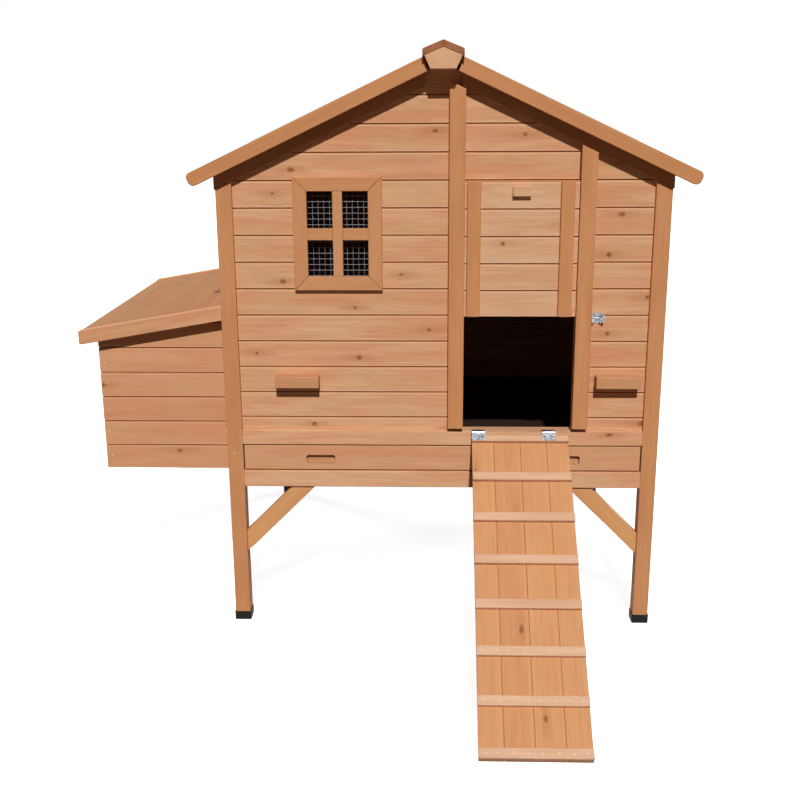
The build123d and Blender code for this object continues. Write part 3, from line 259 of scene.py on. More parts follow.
def planed_fir():
    """The figure of planed fir boards, in millimetres, that every wooden piece shares.

    Place runs along the grain in x, across the boards in y and into them in z. Each board of width Board,
    counted from Start, is drawn anew, and also past Split along it. Knots is the share of KNOT_LENGTH lengths
    that hold a knot, and Girth how stout they are. Lap is how strong the painted highlights on the boards'
    edges and the painted warm bounce light in the shaded joints are, Streaks the depth of the fibres and
    Figure that of the rings.
    """
    measures = dict.fromkeys(FIR_MEASURES, "Float")
    colours = dict.fromkeys(FIR_COLOURS, "Color")
    tree = new_tree("planed_fir", "ShaderNodeTree", {"Place": "Vector", **measures, **colours},
                    {"Colour": "Color", "Roughness": "Float", "Relief": "Float"})
    given = add(tree, "NodeGroupInput").outputs
    along, across, deep = add(tree, PARTS, {0: given["Place"]}).outputs

    # Which board this is, and three chances drawn for it
    from_start = add(tree, MATH, {0: across, 1: given["Start"]}, operation="SUBTRACT")
    row = add(tree, MATH, {0: from_start, 1: given["Board"]}, operation="DIVIDE")
    course = add(tree, MATH, {0: row}, operation="FLOOR")
    in_row = add(tree, MATH, {0: row}, operation="FRACT")
    past = add(tree, MATH, {0: along, 1: given["Split"]}, operation="GREATER_THAN")
    board = add(tree, MATH, {0: past, 1: PAST_SPLIT, 2: course}, operation="MULTIPLY_ADD")
    drawn = add(tree, DRAW, {"Vector": add(tree, JOIN, {0: board, 1: given["Seed"]})}, noise_dimensions="2D")
    chance = add(tree, CHANNELS, {0: drawn.outputs["Color"]}).outputs

    # Where a length of the board would hold its knot, and how far from there this place is
    lengths = add(tree, MATH, {0: along, 1: 1 / KNOT_LENGTH}, operation="MULTIPLY")
    lengths = add(tree, MATH, {0: chance[0], 1: KNOT_SHIFT, 2: lengths}, operation="MULTIPLY_ADD")
    cell = add(tree, MATH, {0: lengths}, operation="FLOOR")
    in_cell = add(tree, MATH, {0: lengths}, operation="FRACT")
    knot_of = add(tree, JOIN, {0: cell, 1: board, 2: given["Seed"]})
    knot = add(tree, DRAW, {"Vector": knot_of}, noise_dimensions="3D")
    knot_at = add(tree, CHANNELS, {0: knot.outputs["Color"]}).outputs
    middles = []
    for share, (low, high) in zip(knot_at, (KNOT_ALONG, KNOT_ACROSS)):
        middles.append(add(tree, MATH, {0: share, 1: high - low, 2: low}, operation="MULTIPLY_ADD"))
    off_along = add(tree, MATH, {0: in_cell, 1: middles[0]}, operation="SUBTRACT")
    off_across = add(tree, MATH, {0: in_row, 1: middles[1]}, operation="SUBTRACT")
    off_across = add(tree, MATH, {0: off_across, 1: given["Board"]}, operation="MULTIPLY")
    present = add(tree, MATH, {0: knot.outputs["Value"], 1: given["Knots"]}, operation="LESS_THAN")

    # The knot's dark core, more or less drawn out, and the wider flare of dark wood round it
    slant = add(tree, MATH, {0: knot_at[2], 1: SLANT_REDRAW}, operation="MULTIPLY")
    slant = add(tree, MATH, {0: slant}, operation="FRACT")
    slant = add(tree, RANGE, {0: slant, 3: SLANTED_KNOT * KNOT_LENGTH, 4: ROUND_KNOT * KNOT_LENGTH})
    reaches = []
    for stretch in (slant, FLARE_LENGTHWISE * KNOT_LENGTH):
        lengthwise = add(tree, MATH, {0: off_along, 1: stretch}, operation="MULTIPLY")
        oval = add(tree, JOIN, {0: lengthwise, 1: off_across})
        reaches.append(add(tree, VECTOR, {0: oval}, operation="LENGTH").outputs["Value"])
    ragged = add(tree, NOISE, {"Vector": given["Place"], "Scale": 1 / RAGGED_SIZE, "Detail": 2.0})
    reach = add(tree, MATH, {0: ragged, 1: CORE_RAGGED, 2: reaches[0]}, operation="MULTIPLY_ADD")
    reach = add(tree, MATH, {0: reach, 1: CORE_RAGGED / 2}, operation="SUBTRACT")
    least, most = KNOT_RADIUS
    radius = add(tree, MATH, {0: knot_at[2], 1: most - least, 2: least}, operation="MULTIPLY_ADD")
    radius = add(tree, MATH, {0: radius, 1: given["Girth"]}, operation="MULTIPLY")
    near = add(tree, MATH, {0: reach, 1: radius}, operation="DIVIDE")
    flare = add(tree, MATH, {0: ragged, 1: FLARE_RAGGED, 2: reaches[1]}, operation="MULTIPLY_ADD")
    marks = []
    for distance, (sets_in, full), depth in (
        (near, CORE_REACH, CORE_DEPTH),
        (flare, FLARE_REACH, FLARE_DEPTH),
    ):
        mark = add(tree, RANGE, {0: distance, 1: sets_in, 2: full, 3: 0.0, 4: depth},
                   interpolation_type="SMOOTHSTEP")
        marks.append(add(tree, MATH, {0: mark, 1: present}, operation="MULTIPLY"))
    core, halo = marks

    # Fibres, bands and patches along the grain, all bowed round the knots, and rings in the bands
    bow = add(tree, MATH, {0: halo, 1: off_across}, operation="MULTIPLY")
    bowed = add(tree, MATH, {0: bow, 1: GRAIN_BOW, 2: across}, operation="MULTIPLY_ADD")
    shift = add(tree, MATH, {0: chance[1], 1: GRAIN_SHIFT}, operation="MULTIPLY")
    grain = {}
    for name, (long, wide, detail) in GRAIN.items():
        way = add(tree, JOIN, {
            0: add(tree, MATH, {0: along, 1: 1 / long, 2: shift}, operation="MULTIPLY_ADD"),
            1: add(tree, MATH, {0: bowed, 1: 1 / wide}, operation="MULTIPLY"),
            2: add(tree, MATH, {0: deep, 1: 1 / wide}, operation="MULTIPLY"),
        })
        grain[name] = add(tree, NOISE, {"Vector": way, "Scale": 1.0, "Detail": detail})
    rings = add(tree, MATH, {0: grain["band"], 1: RINGS_IN_BAND}, operation="MULTIPLY")
    rings = add(tree, MATH, {0: rings}, operation="SINE")
    rings = add(tree, MATH, {0: rings, 1: 0.5, 2: 0.5}, operation="MULTIPLY_ADD")
    late = add(tree, MATH, {0: rings, 1: RING_SHARPNESS}, operation="POWER")

    # What sets in and grows full over a stretch of a noise or of the board's width, and how much then shows
    shows = {}
    for name, measure, sets_in, full, depth in (
        ("early", grain["band"], 0.42, 0.75, 0.5),
        ("fibres", grain["fibre"], 0.44, 0.8, given["Streaks"]),
        # Painted highlights: the boards' upper and lower edges drawn paler, where sun would catch them
        ("upper_highlight", in_row, 0.87, 0.905, given["Lap"]),
        ("lower_highlight", in_row, 0.06, 0.02, given["Lap"]),
        # Painted warm bounce light on the floor of the joints' shaded recesses
        ("joint", in_row, 0.925, 0.945, given["Lap"]),
    ):
        shows[name] = add(tree, RANGE, {0: measure, 1: sets_in, 2: full, 3: 0.0, 4: depth},
                          interpolation_type="SMOOTHSTEP")
    # Both edges' painted highlights, the lower one weaker
    edges = add(tree, MATH, {0: shows["lower_highlight"], 1: LOWER_HIGHLIGHT, 2: shows["upper_highlight"]},
                operation="MULTIPLY_ADD")
    blush = add(tree, RANGE, {
        0: grain["patch"], 1: BLUSH_PATCH[0], 2: BLUSH_PATCH[1], 3: BLUSH_SHOWN[0], 4: BLUSH_SHOWN[1],
    })
    blush = add(tree, MATH, {0: chance[0], 1: BLUSH_BY_BOARD, 2: blush},
                operation="MULTIPLY_ADD", use_clamp=True)
    paler = add(tree, MATH, {0: chance[2], 1: PALER_BY_BOARD}, operation="MULTIPLY")
    figure = add(tree, MATH, {0: late, 1: given["Figure"]}, operation="MULTIPLY")

    # Coats of colour over the tan wood, each with the share of it that shows
    colour = given["Tan"]
    for share, tone in (
        (blush, given["Rosy"]), (shows["early"], given["Pale"]), (paler, given["Pale"]),
        (shows["fibres"], given["Dark"]), (figure, given["Dark"]), (edges, given["Pale"]),
        (shows["joint"], linear(JOINT_BOUNCE_TONE)), (halo, given["Dark"]), (core, given["Knot"]),
    ):
        colour = add(tree, MIX, {0: share, 6: colour, 7: tone}, data_type="RGBA").outputs[2]

    least, most = FIR_ROUGH
    rough = add(tree, MATH, {0: grain["fibre"], 1: most - least, 2: least}, operation="MULTIPLY_ADD")
    relief = add(tree, MATH, {0: late, 1: LATE_SUNK, 2: grain["fibre"]}, operation="MULTIPLY_ADD")
    relief = add(tree, MATH, {0: core, 1: KNOT_SUNK, 2: relief}, operation="MULTIPLY_ADD")
    add(tree, "NodeGroupOutput", {"Colour": colour, "Roughness": rough, "Relief": relief})
    return tree


PLANED_FIR = planed_fir()
# Past every board's end, for boards that aren't cut
FAR = 9e5
# Ways that boards lie and fasteners face
LEVEL = (1.0, 0.0, 0.0)
BACK = (0.0, 1.0, 0.0)
UP = (0.0, 0.0, 1.0)
FORWARD = (0.0, -1.0, 0.0)
LEFTWARD = (-1.0, 0.0, 0.0)
DOWN_ROOF = (cos(ROOF_PITCH), 0.0, -sin(ROOF_PITCH))
OFF_ROOF = (sin(ROOF_PITCH), 0.0, cos(ROOF_PITCH))
UP_LID = (cos(LID_PITCH), 0.0, sin(LID_PITCH))
OFF_LID = (-sin(LID_PITCH), 0.0, cos(LID_PITCH))
DOWN_RAMP = (0.0, -cos(RAMP_PITCH), -sin(RAMP_PITCH))
OFF_RAMP = (0.0, -sin(RAMP_PITCH), cos(RAMP_PITCH))
DOWN_BRACE = (cos(BRACE_PITCH), 0.0, -sin(BRACE_PITCH))
OFF_BRACE = (sin(BRACE_PITCH), 0.0, cos(BRACE_PITCH))


def fir(name, tones, grain, across, seed, board, start=0.0, split=FAR, knots=0.4, girth=1.0, lap=0.0,
        streaks=0.3, figure=0.2, paired=False):
    """Planed fir, oiled: satin, with its fibres just felt. Grain and across are the ways its boards lie.

    A paired material measures x from the house's middle line, so that its two slopes are alike.
    """
    material, tree, shader = new_material(name)
    place = add(tree, PLACE).outputs["Object"]
    if paired:
        x, y, z = add(tree, PARTS, {0: place}).outputs
        off = add(tree, MATH, {0: x, 1: HOUSE_X * MM}, operation="SUBTRACT")
        place = add(tree, JOIN, {0: add(tree, MATH, {0: off}, operation="ABSOLUTE"), 1: y, 2: z})
    laid = add(tree, JOIN)
    for i, way in enumerate((Vector(grain), Vector(across), Vector(grain).cross(Vector(across)))):
        part = add(tree, VECTOR, {0: place, 1: way / MM}, operation="DOT_PRODUCT")
        tree.links.new(part.outputs["Value"], laid.inputs[i])
    measures = zip(FIR_MEASURES, (board, start, split, seed, knots, girth, lap, streaks, figure))
    colours = zip(FIR_COLOURS, map(linear, tones))
    wood = add(tree, "ShaderNodeGroup", {"Place": laid, **dict(measures), **dict(colours)},
               node_tree=PLANED_FIR)
    strength, height = FIR_BUMP
    bump = add(tree, BUMP, {"Height": wood.outputs["Relief"], "Strength": strength, "Distance": height * MM})
    tree.links.new(wood.outputs["Colour"], shader.inputs["Base Color"])
    tree.links.new(wood.outputs["Roughness"], shader.inputs["Roughness"])
    tree.links.new(bump.outputs[0], shader.inputs["Normal"])
    shader.inputs["Specular IOR Level"].default_value = FIR_SPECULAR
    return material


def two_tone(tree, shader, pattern, tones, rough, relief=None):
    """Run a surface between two tones and two roughnesses by a pattern.

    Relief is the strength of the pattern's bump and its height in millimetres.
    """
    first, second = map(linear, tones)
    colour = add(tree, MIX, {0: pattern, 6: first, 7: second}, data_type="RGBA")
    roughness = add(tree, RANGE, {0: pattern, 3: rough[0], 4: rough[1]})
    tree.links.new(colour.outputs[2], shader.inputs["Base Color"])
    tree.links.new(roughness.outputs[0], shader.inputs["Roughness"])
    if relief:
        bump = add(tree, BUMP, {"Height": pattern, "Strength": relief[0], "Distance": relief[1] * MM})
        tree.links.new(bump.outputs[0], shader.inputs["Normal"])


# Sizes of patterns in millimetres, and how little a matt surface mirrors
CRYSTAL = 4.0
SALT_PATCH = 6.0
GRIT = 1.2
RIPPLE = (160.0, 14.0, 14.0)
MATT_SPECULAR = 0.15


def zinc_on_steel(name, *tones):
    """Zinc on pressed steel: cool grey, a dull mirror, with faint crystals a few millimetres wide."""
    material, tree, shader = new_material(name)
    place = add(tree, PLACE).outputs["Object"]
    crystals = add(tree, "ShaderNodeTexVoronoi", {"Vector": place, "Scale": 1 / (CRYSTAL * MM)})
    share = add(tree, CHANNELS, {0: crystals.outputs["Color"]})
    two_tone(tree, shader, share, tones, rough=(0.3, 0.48))
    shader.inputs["Metallic"].default_value = 1.0
    return material


def weathered_zinc(name, *tones):
    """Zinc gone dull in the open: a matt pale film of its own salts, patchy every few millimetres."""
    material, tree, shader = new_material(name)
    place = add(tree, PLACE).outputs["Object"]
    patches = add(tree, NOISE, {"Vector": place, "Scale": 1 / (SALT_PATCH * MM), "Detail": 2.0})
    two_tone(tree, shader, patches, tones, rough=(0.5, 0.7))
    shader.inputs["Specular IOR Level"].default_value = MATT_SPECULAR
    return material


def black_polypropylene():
    """Moulded foot cap: near black and matt, from the mould's fine spark-eroded face.

    Its real grit is a tenth of a millimetre, too fine to show from here, so it is drawn coarser.
    """
    material, tree, shader = new_material("black_polypropylene")
    place = add(tree, PLACE).outputs["Object"]
    grit = add(tree, NOISE, {"Vector": place, "Scale": 1 / (GRIT * MM), "Detail": 2.0})
    two_tone(tree, shader, grit, ("#100e0c", "#1f1c1a"), rough=(0.5, 0.7), relief=(0.3, 0.2))
    shader.inputs["Specular IOR Level"].default_value = MATT_SPECULAR
    return material


def film_faced_plywood():
    """Plywood pressed between dark phenolic film: brown black, with the veneer's ripple just showing."""
    material, tree, shader = new_material("film_faced_plywood")
    place = add(tree, PLACE).outputs["Object"]
    way = add(tree, "ShaderNodeMapping", {"Vector": place, "Scale": [1 / (size * MM) for size in RIPPLE]})
    ripple = add(tree, NOISE, {"Vector": way, "Scale": 1.0, "Detail": 3.0})
    two_tone(tree, shader, ripple, ("#2a1d19", "#3d2b25"), rough=(0.5, 0.7), relief=(0.2, 0.3))
    shader.inputs["Specular IOR Level"].default_value = MATT_SPECULAR
    return material


def dress(material, *nodes):
    """Give CAD nodes one material."""
    for node in nodes:
        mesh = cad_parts[node].data
        mesh.materials.clear()
        mesh.materials.append(material)


def dress_two(node, first, second, is_second):
    """Give a CAD node two materials, by how far each face lies from the node's middle, in millimetres."""
    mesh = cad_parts[node].data
    mesh.materials.clear()
    mesh.materials.append(first)
    mesh.materials.append(second)
    low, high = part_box(node)
    middle = (Vector(low) + Vector(high)) / 2
    for face in mesh.polygons:
        off = (face.center - middle) / MM
        face.material_index = int(is_second(abs(off.x), abs(off.y), abs(off.z)))


def foot_of(node):
    """Height of a node's lowest point, in millimetres."""
    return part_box(node)[0][2] / MM


# Board walls: each wall's courses start where its lowest board does, and the front's are cut at the door
front_start = foot_of("front_wall_boards") + FRONT_FIRST_COVER
wall_start = foot_of("rear_wall_boards")
nest_start = foot_of("nest_front_boards")
door_start = foot_of("pop_door_boards")
door_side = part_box("centre_post")[1][0] / MM
dress(fir("planed_fir_front_wall", BOARD_TONES, LEVEL, UP, 1, BOARD_COVER, front_start, split=door_side,
          knots=0.62, girth=1.4, lap=0.9, streaks=0.25),
      "front_wall_boards")
for seed, side, grain in ((2, "rear", LEVEL), (3, "left", BACK), (4, "right", BACK)):
    dress(fir(f"planed_fir_{side}_wall", BOARD_TONES, grain, UP, seed, BOARD_COVER, wall_start, lap=0.9),
          f"{side}_wall_boards")
dress(fir("planed_fir_nest_ends", NEST_TONES, LEVEL, UP, 5, BOARD_COVER, nest_start,
          knots=0.3, lap=0.75, streaks=0.2, figure=0.12),
      "nest_front_boards", "nest_rear_boards")
dress(fir("planed_fir_nest_side", NEST_TONES, BACK, UP, 6, BOARD_COVER, nest_start,
          lap=0.75, streaks=0.24, figure=0.15),
      "nest_outer_boards")
dress(fir("planed_fir_door", DOOR_TONES, LEVEL, UP, 7, BOARD_COVER, door_start, knots=0.3, lap=0.85),
      "pop_door_boards")

# Roof and lid boards run from front to back, so their courses lie up the slope
roof_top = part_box("left_roof_boards")[1][2] / MM
roof_start = ROOF_SHOULDER * cos(ROOF_PITCH) ** 2 - roof_top * sin(ROOF_PITCH)
for seed, side in ((10, "left"), (11, "right")):
    dress(fir(f"planed_fir_{side}_roof", BOARD_TONES, BACK, DOWN_ROOF, seed, ROOF_COVER, roof_start,
              paired=True),
          f"{side}_roof_boards")
lid_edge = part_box("nest_lid_trims")[0][0] / MM
lid_start = lid_edge * cos(LID_PITCH) + LID_OUTER_Z * sin(LID_PITCH)
dress(fir("planed_fir_lid", LID_TONES, BACK, UP_LID, 12, LID_COVER, lid_start,
          knots=0.12, streaks=0.16, figure=0.08),
      "nest_lid_boards")

# The ramp: two full boards and two trimmed ones down its slope, and cleats across
ramp_low, ramp_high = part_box("ramp_boards")
ramp_start = (ramp_low[0] + ramp_high[0]) / 2 / MM - 2 * BOARD_COVER
dress(fir("planed_fir_ramp", RAMP_TONES, DOWN_RAMP, LEVEL, 23, BOARD_COVER, ramp_start,
          knots=0.14, lap=0.55, figure=0.18),
      "ramp_boards")
dress(fir("planed_fir_cleats", CLEAT_TONES, LEVEL, DOWN_RAMP, 24, CLEAT_STEP, knots=0.05, streaks=0.35),
      "ramp_cleats")

# Single timbers lie whole in wide courses, given by their width and start in millimetres
UPRIGHT_COURSES = (150.0, -400.0)
LEVEL_COURSES = (100.0, 40.0)
RAIL_COURSES = (100.0, 340.0)
TRAY_COURSES = (200.0, 320.0)
NEST_COURSE = 200.0
BLOCK_COURSE = 300.0
SLOPE_COURSE = 400.0
# Straight-grained timber for what is slender
STRAIGHT = {"knots": 0.05, "streaks": 0.24, "figure": 0.1}
WINDOW_STRAIGHT = {**STRAIGHT, "figure": 0.12}
SLOPE_STRAIGHT = {**STRAIGHT, "knots": 0.08, "paired": True}
dress(fir("planed_fir_uprights", TRIM_TONES, UP, LEVEL, 13, *UPRIGHT_COURSES, **STRAIGHT),
      "front_left_post", "front_right_post", "rear_left_post", "rear_right_post", "centre_post",
      "door_post", "pop_door_battens", "nest_corner_battens")
dress(fir("planed_fir_levels", TRIM_TONES, LEVEL, UP, 14, *LEVEL_COURSES, **STRAIGHT),
      "perches", "perch_brackets")
dress(fir("planed_fir_rails", RAIL_TONES, LEVEL, UP, 15, *RAIL_COURSES, knots=0.15),
      "front_bottom_rail", "rear_bottom_rail", "front_sill_rail", "ramp_hinge_batten")
dress(fir("planed_fir_side_rails", TRIM_TONES, BACK, UP, 16, *RAIL_COURSES, knots=0.2),
      "side_bottom_rails", "wall_plates", "tray_runners")
dress(fir("planed_fir_nest_inside", BOARD_TONES, BACK, LEVEL, 9, NEST_COURSE), "nest_floor", "nest_divider")
dress(fir("planed_fir_grips", BLOCK_TONES, LEVEL, UP, 17, BLOCK_COURSE, knots=0.0),
      "left_grip_block", "right_grip_block")
dress(fir("planed_fir_pull", DOOR_TONES, LEVEL, UP, 25, BLOCK_COURSE, knots=0.0), "pop_door_pull")
dress(fir("planed_fir_lid_trims", NEST_TONES, UP_LID, OFF_LID, 22, BLOCK_COURSE, knots=0.1, streaks=0.35),
      "nest_lid_trims")
dress(fir("planed_fir_slopes", TRIM_TONES, DOWN_ROOF, OFF_ROOF, 18, SLOPE_COURSE, **SLOPE_STRAIGHT),
      "front_left_barge_board", "front_right_barge_board", "rear_barge_boards")
# Rafters wear darker tones as painted shade under the eaves
dress(fir("fir_rafters_painted_shade", RAFTER_SHADE_TONES, DOWN_ROOF, OFF_ROOF, 29, SLOPE_COURSE, **SLOPE_STRAIGHT),
      "front_rafters", "rear_rafters")
dress(fir("planed_fir_braces", BRACE_TONES, DOWN_BRACE, OFF_BRACE, 19, SLOPE_COURSE,
          knots=0.1, figure=0.1, paired=True),
      "front_braces", "rear_braces")
dress(fir("planed_fir_ridge_beam", END_TONES, BACK, LEVEL, 20, SLOPE_COURSE, knots=0.0), "ridge_beam")
dress(fir("planed_fir_ridge_caps", CAP_TONES, BACK, DOWN_ROOF, 21, SLOPE_COURSE, knots=0.1, paired=True),
      "ridge_caps")

# The window's trim is mitred, so its grain turns at the corners, and its upright bar runs between cross bars
window_uprights = fir("planed_fir_window_uprights", WINDOW_TONES, UP, LEVEL, 26, *UPRIGHT_COURSES,
                      **WINDOW_STRAIGHT)
window_levels = fir("planed_fir_window_levels", WINDOW_TONES, LEVEL, UP, 27, *LEVEL_COURSES,
                    **WINDOW_STRAIGHT)
dress_two("window_trim", window_levels, window_uprights, lambda x, y, z: x - PANE_HALF[0] > z - PANE_HALF[1])
dress_two("window_bars", window_levels, window_uprights, lambda x, y, z: x < WINDOW_BAR_REACH)

# The finger slots' routed insides get darker tones than the tray's planed face: painted shade in the recesses
tray_fir = fir("planed_fir_tray", NEST_TONES, LEVEL, UP, 8, *TRAY_COURSES, knots=0.5)
slot_shade_fir = fir("routed_fir_slots_painted_shade", SLOT_SHADE_TONES, LEVEL, UP, 28, *TRAY_COURSES, knots=0.0)
tray_low, tray_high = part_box("tray_front")
slots = (Vector(tray_high) - Vector(tray_low)) / 2 / MM - SLOT_INSET
dress(tray_fir, "tray_walls")
dress_two("tray_front", tray_fir, slot_shade_fir, lambda x, y, z: x < slots.x and y < slots.y and z < slots.z)

steel = zinc_on_steel("galvanised_steel", "#75777b", "#a9abae")
dress(steel, "bolt_plate", "bolt_rod", "window_mesh")
dress(zinc_on_steel("bright_zinc_plate", "#979da6", "#c5c9ce"),
      "nest_hinge_wall_leaves", "nest_hinge_lid_leaves", "nest_hinge_pins",
      "ramp_hinge_sill_leaves", "ramp_hinge_ramp_leaves", "ramp_hinge_pins")
dress(black_polypropylene(), "foot_caps")
dress(film_faced_plywood(), "tray_base")

# Heads of fasteners, in radii: the turned profile as (radius, height), and a screw's cross recess
NAIL_PROFILE = ((1.0, -0.2), (1.0, 0.08), (0.82, 0.26), (0.45, 0.36))
NAIL_SIDES = 10
SCREW_PROFILE = ((1.0, -0.2), (1.0, 0.12), (0.86, 0.34), (0.7, 0.4))
RECESS_CORNERS = 8
RECESS_RADII = (0.5, 0.16)
RECESS_TOP = 0.4
RECESS_FLOOR = 0.1
RECESS_TAPER = 0.7


def lathe(mesh, profile, sides):
    """Rings of a turned head, with quads between them. Returns the last ring."""
    last = None
    for radius, height in profile:
        ring = [mesh.verts.new((radius * cos(tau * i / sides), radius * sin(tau * i / sides), height))
                for i in range(sides)]
        if last:
            for i in range(sides):
                mesh.faces.new((last[i - 1], last[i], ring[i], ring[i - 1]))
        last = ring
    return last


def keep_head(mesh, name):
    """An object of a head's mesh, with its faces turned outwards."""
    bmesh.ops.recalc_face_normals(mesh, faces=mesh.faces)
    data = bpy.data.meshes.new(name)
    mesh.to_mesh(data)
    mesh.free()
    head = bpy.data.objects.new(name, data)
    bpy.context.collection.objects.link(head)
    return head


def nail_head():
    """Low domed head of a wire nail, with a radius of 1."""
    mesh = bmesh.new()
    mesh.faces.new(lathe(mesh, NAIL_PROFILE, NAIL_SIDES))
    return keep_head(mesh, "nail_head")


def screw_head():
    """Pan head of a screw with a cross recess, with a radius of 1."""
    mesh = bmesh.new()
    rim = lathe(mesh, SCREW_PROFILE, 2 * RECESS_CORNERS)
    star = [(RECESS_RADII[i % 2], tau * i / RECESS_CORNERS) for i in range(RECESS_CORNERS)]
    mouth = [mesh.verts.new((r * cos(a), r * sin(a), RECESS_TOP)) for r, a in star]
    inner = [(RECESS_TAPER * r, a) for r, a in star]
    floor = [mesh.verts.new((r * cos(a), r * sin(a), RECESS_FLOOR)) for r, a in inner]
    # The rim has two sides to each corner of the recess
    for i in range(RECESS_CORNERS):
        j = (i + 1) % RECESS_CORNERS
        mesh.faces.new((rim[2 * i], rim[2 * i + 1], rim[2 * j], mouth[j], mouth[i]))
        mesh.faces.new((mouth[i], mouth[j], floor[j], floor[i]))
    mesh.faces.new(floor)
    return keep_head(mesh, "screw_head")


def fastener_tree():
    """Nodes that put a head on each point, turned to face outwards and spun by chance."""
    tree = new_tree("fasteners", "GeometryNodeTree",
                    {"Geometry": "Geometry", "Head": "Object", "Radius": "Float", "Seed": "Int",
                     "Metal": "Material"},
                    {"Geometry": "Geometry"})
    given = add(tree, "NodeGroupInput").outputs
    head = add(tree, "GeometryNodeObjectInfo", {"Object": given["Head"]}).outputs["Geometry"]
    facing = add(tree, "GeometryNodeInputNamedAttribute", {"Name": "facing"}, data_type="FLOAT_VECTOR")
    turned = add(tree, "FunctionNodeAlignRotationToVector", {"Vector": facing}, axis="Z")
    angle = add(tree, "FunctionNodeRandomValue", {2: 0.0, 3: tau, "Seed": given["Seed"]}, data_type="FLOAT")
    spin = add(tree, "FunctionNodeAxisAngleToRotation", {"Axis": UP, "Angle": angle.outputs[1]})
    turned = add(tree, "FunctionNodeRotateRotation", {0: turned, 1: spin}, rotation_space="LOCAL")
    heads = add(tree, "GeometryNodeInstanceOnPoints", {
        "Points": given["Geometry"], "Instance": head, "Rotation": turned, "Scale": given["Radius"],
    })
    solid = add(tree, "GeometryNodeRealizeInstances", {0: heads})
    metal = add(tree, "GeometryNodeSetMaterial", {"Geometry": solid, "Material": given["Metal"]})
    add(tree, "NodeGroupOutput", {0: metal})
    return tree


# Welded wires, in thicknesses of a wire: the radius of each set, and how far behind the corner it lies
UPRIGHT_WIRES = (0.38, 0.42)
LEVEL_WIRES = (0.5, -0.25)
WIRE_SIDES = 8


def welded_wire_tree():
    """Nodes that lay level wires, and thinner upright ones behind them, at one pitch from a corner."""
    tree = new_tree("welded_wires", "GeometryNodeTree",
                    {"Geometry": "Geometry", "Corner": "Vector", "Pitch": "Float", "Wire": "Float",
                     "Columns": "Int", "Rows": "Int", "Metal": "Material"},
                    {"Geometry": "Geometry"})
    given = add(tree, "NodeGroupInput").outputs
    sets = add(tree, "GeometryNodeJoinGeometry")
    for count, other, step, turn, (thick, behind) in (
        ("Columns", "Rows", 0, (0, 0, 0), UPRIGHT_WIRES),
        ("Rows", "Columns", 2, (0, tau / 4, 0), LEVEL_WIRES),
    ):
        run = add(tree, MATH, {0: given[other], 1: given["Pitch"]}, operation="MULTIPLY")
        long = add(tree, MATH, {0: run, 1: given["Wire"]}, operation="ADD")
        half = add(tree, MATH, {0: run, 1: 0.5}, operation="MULTIPLY")
        radius = add(tree, MATH, {0: given["Wire"], 1: thick}, operation="MULTIPLY")
        depth = add(tree, MATH, {0: given["Wire"], 1: behind}, operation="MULTIPLY")
        first = add(tree, JOIN, {2 - step: half, 1: depth})
        line = add(tree, "GeometryNodeMeshLine", {
            "Count": add(tree, MATH, {0: given[count], 1: 1.0}, operation="ADD"),
            "Start Location": add(tree, VECTOR, {0: given["Corner"], 1: first}, operation="ADD"),
            "Offset": add(tree, JOIN, {step: given["Pitch"]}),
        })
        wire = add(tree, "GeometryNodeMeshCylinder", {
            "Vertices": WIRE_SIDES, "Radius": radius, "Depth": long,
        })
        laid = add(tree, "GeometryNodeInstanceOnPoints", {"Points": line, "Instance": wire, "Rotation": turn})
        tree.links.new(laid.outputs[0], sets.inputs[0])
    solid = add(tree, "GeometryNodeRealizeInstances", {0: sets})
    metal = add(tree, "GeometryNodeSetMaterial", {"Geometry": solid, "Material": given["Metal"]})
    add(tree, "NodeGroupOutput", {0: metal})
    return tree


def make(name, mesh, tree, values):
    """A plain mesh object of what a tree makes from a mesh with the given input values."""
    piece = bpy.data.objects.new(name, mesh)
    bpy.context.collection.objects.link(piece)
    maker = piece.modifiers.new(tree.name, "NODES")
    maker.node_group = tree
    for item in tree.interface.items_tree:
        if item.in_out == "INPUT" and item.name in values:
            maker[item.identifier] = values[item.name]
    made = bpy.data.meshes.new_from_object(piece.evaluated_get(bpy.context.evaluated_depsgraph_get()))
    piece.modifiers.clear()
    piece.data = made
    made.name = name
    return piece


FASTENERS = fastener_tree()


def fasten(name, body, head, metal, radius, seed, places):
    """Heads at places, each with the way it faces, as one piece that rides on a body."""
    mesh = bpy.data.meshes.new(name + "_points")
    mesh.from_pydata([place for place, _ in places], [], [])
    facing = mesh.attributes.new("facing", "FLOAT_VECTOR", "POINT")
    for i, (_, way) in enumerate(places):
        facing.data[i].vector = way
    values = {"Head": head, "Radius": radius * MM, "Seed": seed, "Metal": metal}
    piece = make(name, mesh, FASTENERS, values)
    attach(piece, body)


def on_ramp(x, down, lift):
    """A place on the ramp, by its way down from the hinge pin and its height off the pin's line."""
    y, z = RAMP_PIN
    return at(x, y, z) + (Vector(DOWN_RAMP) * down + Vector(OFF_RAMP) * lift) * MM


def on_lid(y, down, lift):
    """A place on the nest's lid, by its way down from the hinge pin and its height off the pin's line."""
    x, z = LID_PIN
    return at(x, y, z) + (Vector(UP_LID) * -down + Vector(OFF_LID) * lift) * MM


def stray(i):
    """How far the nail with this number strays from its line, in millimetres."""
    return NAIL_STRAY[i % len(NAIL_STRAY)]


nail = nail_head()
screw = screw_head()
nail_zinc = weathered_zinc("weathered_zinc_nails", "#c9b59f", "#ecd9c4")

